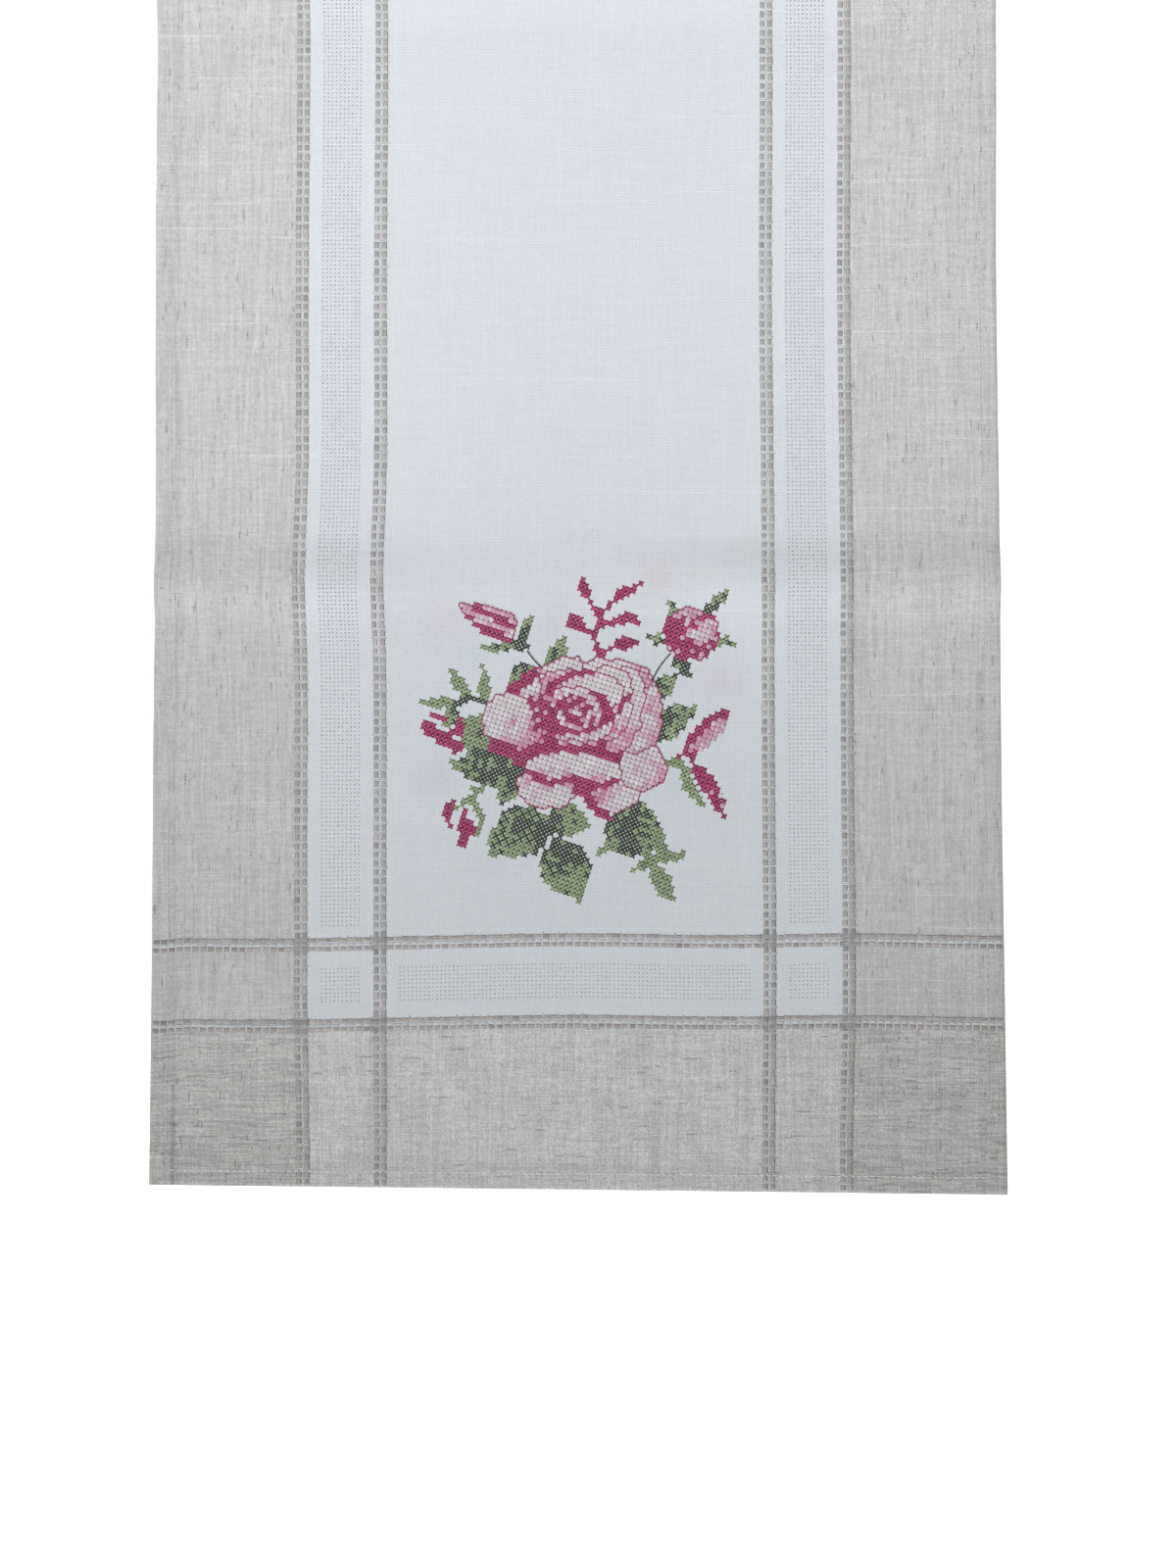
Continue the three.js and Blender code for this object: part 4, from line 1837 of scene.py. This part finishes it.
    def outlines(self) -> tuple[Array, Array]:
        """Find the lines where a pale petal meets bare cloth, a leaf or another pale petal.

        They join the middles of the cell edges there, so that the cells' steps become slanted lines.

        Returns:
            The lines' starts and ends.
        """
        pale = np.where(self.thread == Thread.PALE, self.petal, 0)
        cuts = []
        for low, high in ((np.s_[:-1, :], np.s_[1:, :]), (np.s_[:, :-1], np.s_[:, 1:])):
            rosy = (self.thread[low] == Thread.ROSE) | (self.thread[high] == Thread.ROSE)
            cuts.append((pale[low] != pale[high]) & ~rosy)
        upright, level = cuts
        meeting = np.stack([upright[:, :-1], upright[:, 1:], level[:-1, :], level[1:, :]])
        offsets = np.array([-self.up, self.up, -self.right, self.right]) * self.pitch / 2
        corner = self.grid_points()
        count = meeting.sum(axis=0)
        starts, ends = [], []
        for first in range(len(offsets)):
            for second in range(first + 1, len(offsets)):
                here = (count == 2) & meeting[first] & meeting[second]
                starts.append(corner[here] + offsets[first])
                ends.append(corner[here] + offsets[second])
            here = (count != 2) & meeting[first]
            starts.append(corner[here] + offsets[first])
            ends.append(corner[here])
        return np.concatenate(starts), np.concatenate(ends)


@dataclass(frozen=True)
class RoseSpray:
    """The cross-stitched spray at each end of the runner, in pale, rose and green thread.

    Pale stitches are full and the others open, with the cloth showing between them. The shades are the
    share of its colour that a thread keeps at its ends, painted shade where it goes into the cloth. The tones
    of the lower and the upper stroke are painted shade and painted light, and the spreads are those of the
    stitches' places, sizes and colours.
    """

    woven: WovenCloth
    chart: StitchChart
    leaf_width: float = 1.00 * MM
    rose_width: float = 1.26 * MM
    pale_width: float = 1.52 * MM
    line_width: float = 0.78 * MM
    open_rise: float = 0.34 * MM
    pale_rise: float = 0.24 * MM
    line_rise: float = 0.55 * MM
    reach: float = 1.02
    pale: Colour = (0.592, 0.566, 0.590)
    blush: Colour = (0.500, 0.165, 0.310)
    rose: Colour = (0.335, 0.036, 0.117)
    light: Colour = (0.212, 0.280, 0.130)
    dark: Colour = (0.043, 0.062, 0.035)
    # Painted shade: colours of the dark dots that stand for the needle holes.
    pale_hole_painted_shade: Colour = (0.085, 0.055, 0.070)
    rose_hole_painted_shade: Colour = (0.060, 0.008, 0.022)
    leaf_hole_painted_shade: Colour = (0.012, 0.016, 0.010)
    pale_hole_size: float = 0.76 * MM
    open_hole_size: float = 0.74 * MM
    hole_rise: float = 0.25 * MM
    # Painted shade at the ends of the stitches, where they go into the cloth.
    open_shade: float = 0.40
    pale_shade: float = 0.75
    # Painted shade on the lower stroke of an open stitch and painted light on the upper one.
    under_painted_shade: float = 0.80
    over_painted_light: float = 1.10
    tone_spread: float = 0.13
    pale_tone_share: float = 0.4
    flush_spread: float = 0.16
    place_spread: float = 0.05
    width_spread: float = 0.06
    rise_spread: float = 0.10
    hole_spread: float = 0.15
    line_spread: float = 0.08
    stem_lap: float = 0.15
    draw: np.random.Generator = drawing(41)

    def on_cloth(self, points: Array, end: End) -> Array:
        """Points of the chart, in millimetres, on the flat cloth: turned half round at the far end."""
        bands = self.woven.bands
        return -end * (points * MM + [bands.spray_x, bands.spray_y])

    def crosses(self, thread: Thread, end: End) -> MeshParts:
        """Work all cross stitches in one thread: a low stroke along one diagonal and a high one over it.

        Args:
            thread: The thread.
            end: Which end of the runner.

        Returns:
            The stitches.
        """
        chart = self.chart
        cells = chart.thread == thread
        centre = np.stack([chart.x[cells], chart.y[cells]], axis=-1)
        half = chart.pitch / 2 * self.reach
        full = thread == Thread.PALE
        lone_width = self.rose_width if thread in (Thread.PALE, Thread.ROSE) else self.leaf_width
        girth = np.where(full & chart.crowded()[cells], self.pale_width, lone_width)
        strokes = ((LOW_STROKE, 1, self.under_painted_shade), (HIGH_STROKE, -1, self.over_painted_light))
        surface = self.woven.surface
        made = []
        for form, lean, layer_light_and_shade in strokes:
            diagonal = (chart.right * lean + chart.up) * half
            loose = self.draw.normal(0, self.place_spread, (2, len(centre), 2))
            start = self.on_cloth(centre - diagonal + loose[0], end)
            stop = self.on_cloth(centre + diagonal + loose[1], end)
            width = girth * self.draw.normal(1, self.width_spread, len(centre))
            rise = self.pale_rise if full else self.open_rise
            rise = rise * self.draw.normal(1, self.rise_spread, len(centre))
            colour = self.colours(thread, chart.flush[cells])
            # Painted light and shade: the lower stroke of an open stitch is darker and the upper one lighter.
            colour = colour if full else colour * layer_light_and_shade
            shade = self.pale_shade if full else self.open_shade
            made.append(thread_strokes(form, start, stop, width, rise, surface, colour, shade))
        return MeshParts.joined(made)

    def colours(self, thread: Thread, flush: Array) -> Array:
        """Draw the colour of each stitch: pale thread takes its chart's share of pink.

        Args:
            thread: The thread.
            flush: Share of pink in each stitch.

        Returns:
            The colours, one row each.
        """
        count = len(flush)
        tone = self.draw.normal(1, self.tone_spread, (count, 1))
        if thread != Thread.PALE:
            plain = {Thread.ROSE: self.rose, Thread.LIGHT: self.light, Thread.DARK: self.dark}[thread]
            return np.array(plain) * tone
        share = np.clip(flush + self.draw.normal(0, self.flush_spread, count), 0, 1)[:, None]
        colour = np.array(self.pale) * (1 - share) + np.array(self.blush) * share
        return colour * (1 + (tone - 1) * self.pale_tone_share)

    def needle_hole_shade_dots(self, threads: tuple[Thread, ...], size: float, tint: Colour, end: End) -> MeshParts:
        """Dark dots of painted shade at the grid points among the stitches, where the needle went through.

        Args:
            threads: Threads of the stitches.
            size: Size of the dots.
            tint: Their colour, the painted shade in the holes.
            end: Which end of the runner.

        Returns:
            The dots.
        """
        middle = self.chart.corners(threads)
        step = self.chart.right * size / MM / 2
        start, stop = self.on_cloth(middle - step, end), self.on_cloth(middle + step, end)
        colour = np.array(tint) * self.draw.normal(1, self.hole_spread, (len(middle), 1))
        return thread_strokes(DOT_STROKE, start, stop, size, self.hole_rise, self.woven.surface, colour)

    def lines(self, starts: Array, ends: Array, colour: Colour, end: End) -> MeshParts:
        """Work back stitches in thin thread.

        Args:
            starts: Their starts on the chart.
            ends: Their ends on the chart.
            colour: Colour of the thread.
            end: Which end of the runner.

        Returns:
            The stitches.
        """
        tint = np.array(colour) * self.draw.normal(1, self.line_spread, (len(starts), 1))
        start, stop = self.on_cloth(starts, end), self.on_cloth(ends, end)
        sizes = (self.line_width, self.line_rise)
        return thread_strokes(SEAM_STROKE, start, stop, *sizes, self.woven.surface, tint)

    def stems(self, end: End) -> MeshParts:
        """Work the thin bare stems in dark green back stitch, the stitches lapping a little.

        Args:
            end: Which end of the runner.

        Returns:
            The stitches.
        """
        curves = [smooth_line(points, 2) for points in BARE_STEMS]
        starts = np.concatenate([curve[:-1] for curve in curves])
        ends = np.concatenate([curve[1:] for curve in curves])
        lap = (ends - starts) * self.stem_lap
        return self.lines(starts - lap, ends + lap, self.dark, end)

    def parts(self) -> dict[str, MeshParts]:
        """Work both sprays.

        Returns:
            Their meshes, joined for each family of threads.
        """
        both = (End.FAR, End.NEAR)
        outlines = self.chart.outlines()
        greens = (Thread.LIGHT, Thread.DARK)
        pale = [self.crosses(Thread.PALE, end) for end in both]
        pale += [self.needle_hole_shade_dots((Thread.PALE,), self.pale_hole_size, self.pale_hole_painted_shade, end) for end in both]
        rose = [self.crosses(Thread.ROSE, end) for end in both]
        rose += [self.needle_hole_shade_dots((Thread.ROSE,), self.open_hole_size, self.rose_hole_painted_shade, end) for end in both]
        rose += [self.lines(*outlines, self.rose, end) for end in both]
        leaf = [self.crosses(thread, end) for thread in greens for end in both]
        leaf += [self.needle_hole_shade_dots(greens, self.open_hole_size, self.leaf_hole_painted_shade, end) for end in both]
        leaf += [self.stems(end) for end in both]
        families = {"pale": pale, "rose": rose, "leaf": leaf}
        return {name: MeshParts.joined(parts) for name, parts in families.items()}

    def build(self, maker: Maker, effects: SharedEffects) -> None:
        """Make a piece for each family of threads, in a finish of its own.

        Args:
            maker: Puts the pieces into the scene.
            effects: Shared node groups of the finishes.
        """
        for name, parts in self.parts().items():
            thread = ThreadFinish(effects, f"{name} thread")
            maker.piece(f"{name}_stitches", parts, THREAD_UV, thread.material(), f"{name}_thread")


@dataclass(frozen=True)
class Studio:
    """Camera above the near end, pale floor, a wide lamp overhead and soft light from the near left.

    The covered values are those of the floor under the runner, which shows through the openwork: its grey is
    painted shade and its weak glow painted light.
    """

    view_x: float = 6.0 * MM
    view_y: float = -510.1 * MM
    view_length: float = 725.1 * MM
    distance: float = 1.6
    sensor: float = 36.0
    floor_half: float = 4.0
    floor_colour: Colour = (0.95, 0.952, 0.955, 1)
    floor_glow: float = 0.8
    covered_painted_light: float = 0.22
    covered_painted_shade: Colour = (0.40, 0.41, 0.44, 1)
    covered_x: float = 180 * MM
    covered_y: float = 680 * MM
    covered_edge: float = 8 * MM
    floor_roughness: float = 0.9
    floor_specular: float = 0.1
    lamp_place: tuple[float, float, float] = (-0.09, -0.15, 1.0)
    lamp_aim: tuple[float, float, float] = (-0.09, 0.35, 0.0)
    lamp_size: float = 0.6
    lamp_power: float = 10.0
    sun_way: tuple[float, float, float] = (0.45, 1.0, -0.70)
    sun_strength: float = 2.4
    sun_softness: float = np.radians(24)
    white: Colour = (1.0, 1.0, 1.0, 1.0)
    sky_strength: float = 0.08

    def camera(self) -> None:
        """Look straight down, with the whole height of the picture spanning view_length of the table."""
        data = bpy.data.cameras.new("camera")
        data.sensor_fit = "VERTICAL"
        data.sensor_height = self.sensor
        data.lens = self.sensor * self.distance / self.view_length
        camera = bpy.data.objects.new("camera", data)
        camera.location = (self.view_x, self.view_y, self.distance)
        bpy.context.scene.collection.objects.link(camera)
        bpy.context.scene.camera = camera

    def floor(self) -> None:
        """Floor that the runner lies on: bright white, and grey with a weak glow where the runner covers it,
        painted shade and painted light.
        """
        mesh = bpy.data.meshes.new("floor")
        half = self.floor_half
        corners = [(-half, -half, 0), (half, -half, 0), (half, half, 0), (-half, half, 0)]
        mesh.from_pydata(corners, [], [(0, 1, 2, 3)])
        material, board, shader = start_material("white floor")
        place = board.add("ShaderNodeTexCoord").outputs["Object"]
        split = board.add("ShaderNodeSeparateXYZ", {"Vector": place})
        clear = [
            board.ramp(board.math("ABSOLUTE", split.outputs[axis]), reach - self.covered_edge, reach)
            for axis, reach in (("X", self.covered_x), ("Y", self.covered_y))
        ]
        outside = board.math("MAXIMUM", *clear)
        # Painted shade under the runner: the floor there is grey.
        board.feed(shader.inputs["Base Color"], board.mix(outside, self.covered_painted_shade, self.floor_colour))
        shader.inputs["Emission Color"].default_value = self.floor_colour
        # Painted light under the runner: a weak glow there, and the even bright glow of the floor outside it.
        glow = board.ramp(outside, 0.0, 1.0, self.covered_painted_light, self.floor_glow)
        board.feed(shader.inputs["Emission Strength"], glow)
        shader.inputs["Roughness"].default_value = self.floor_roughness
        shader.inputs["Specular IOR Level"].default_value = self.floor_specular
        mesh.materials.append(material)
        floor = bpy.data.objects.new("floor", mesh)
        bpy.context.scene.collection.objects.link(floor)

    @staticmethod
    def hang(light: Light, way: Array) -> Object:
        """Put a light into the scene, turned so that it shines along a direction.

        Args:
            light: The light.
            way: The direction.

        Returns:
            Its object, at the origin.
        """
        x, y, z = (float(part) for part in way)
        lamp = bpy.data.objects.new(light.name, light)
        lamp.rotation_euler = (np.arctan2(np.hypot(x, y), -z), 0.0, np.arctan2(-x, y))
        bpy.context.scene.collection.objects.link(lamp)
        return lamp

    def light(self) -> None:
        """Hang a wide lamp turned to the far end and window light from the near left, under a pale sky."""
        lamp = bpy.data.lights.new("overhead lamp", "AREA")
        lamp.size = self.lamp_size
        lamp.energy = self.lamp_power
        self.hang(lamp, np.subtract(self.lamp_aim, self.lamp_place)).location = self.lamp_place
        sun = bpy.data.lights.new("window light", "SUN")
        sun.energy = self.sun_strength
        sun.angle = self.sun_softness
        self.hang(sun, np.array(self.sun_way))
        world = bpy.data.worlds.new("pale sky")
        world.use_nodes = True
        sky = world.node_tree.nodes["Background"]
        sky.inputs["Color"].default_value = self.white
        sky.inputs["Strength"].default_value = self.sky_strength
        bpy.context.scene.world = world
        bpy.context.scene.view_settings.view_transform = "Standard"


def main() -> None:
    """Build the studio and the runner."""
    logging.basicConfig(level=logging.INFO, format="%(message)s")
    studio = Studio()
    studio.camera()
    low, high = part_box(NODE)
    cloth = LyingCloth(half_width=(high[0] - low[0]) / 2, half_length=(high[1] - low[1]) / 2)
    bands = BandLayout()
    effects = SharedEffects()
    maker = Maker(cloth)
    woven = WovenCloth(cloth, bands, Layers())
    woven_finish = ClothFinish(effects, bands).material()
    sheet = woven.build(maker, woven_finish)
    nets = Openwork(bands, woven.layers).build(maker, woven.net_frames(), woven_finish)
    white = ThreadFinish(effects, "white thread", twist_light_and_shade=0.2, roughness=0.75)
    white_finish = white.material()
    linen = ThreadFinish(effects, "linen floats", turn=0.77 * MM, lead=0.0, twist_light_and_shade=0.42, fuzz=0.7,
                         roughness=0.8)
    LadderStripes(woven).build(maker, linen.material(), white_finish)
    HemSeam(woven).build(maker, white_finish)
    RoseSpray(woven, StitchChart()).build(maker, effects)
    studio.floor()
    studio.light()


if __name__ == "__main__":
    main()
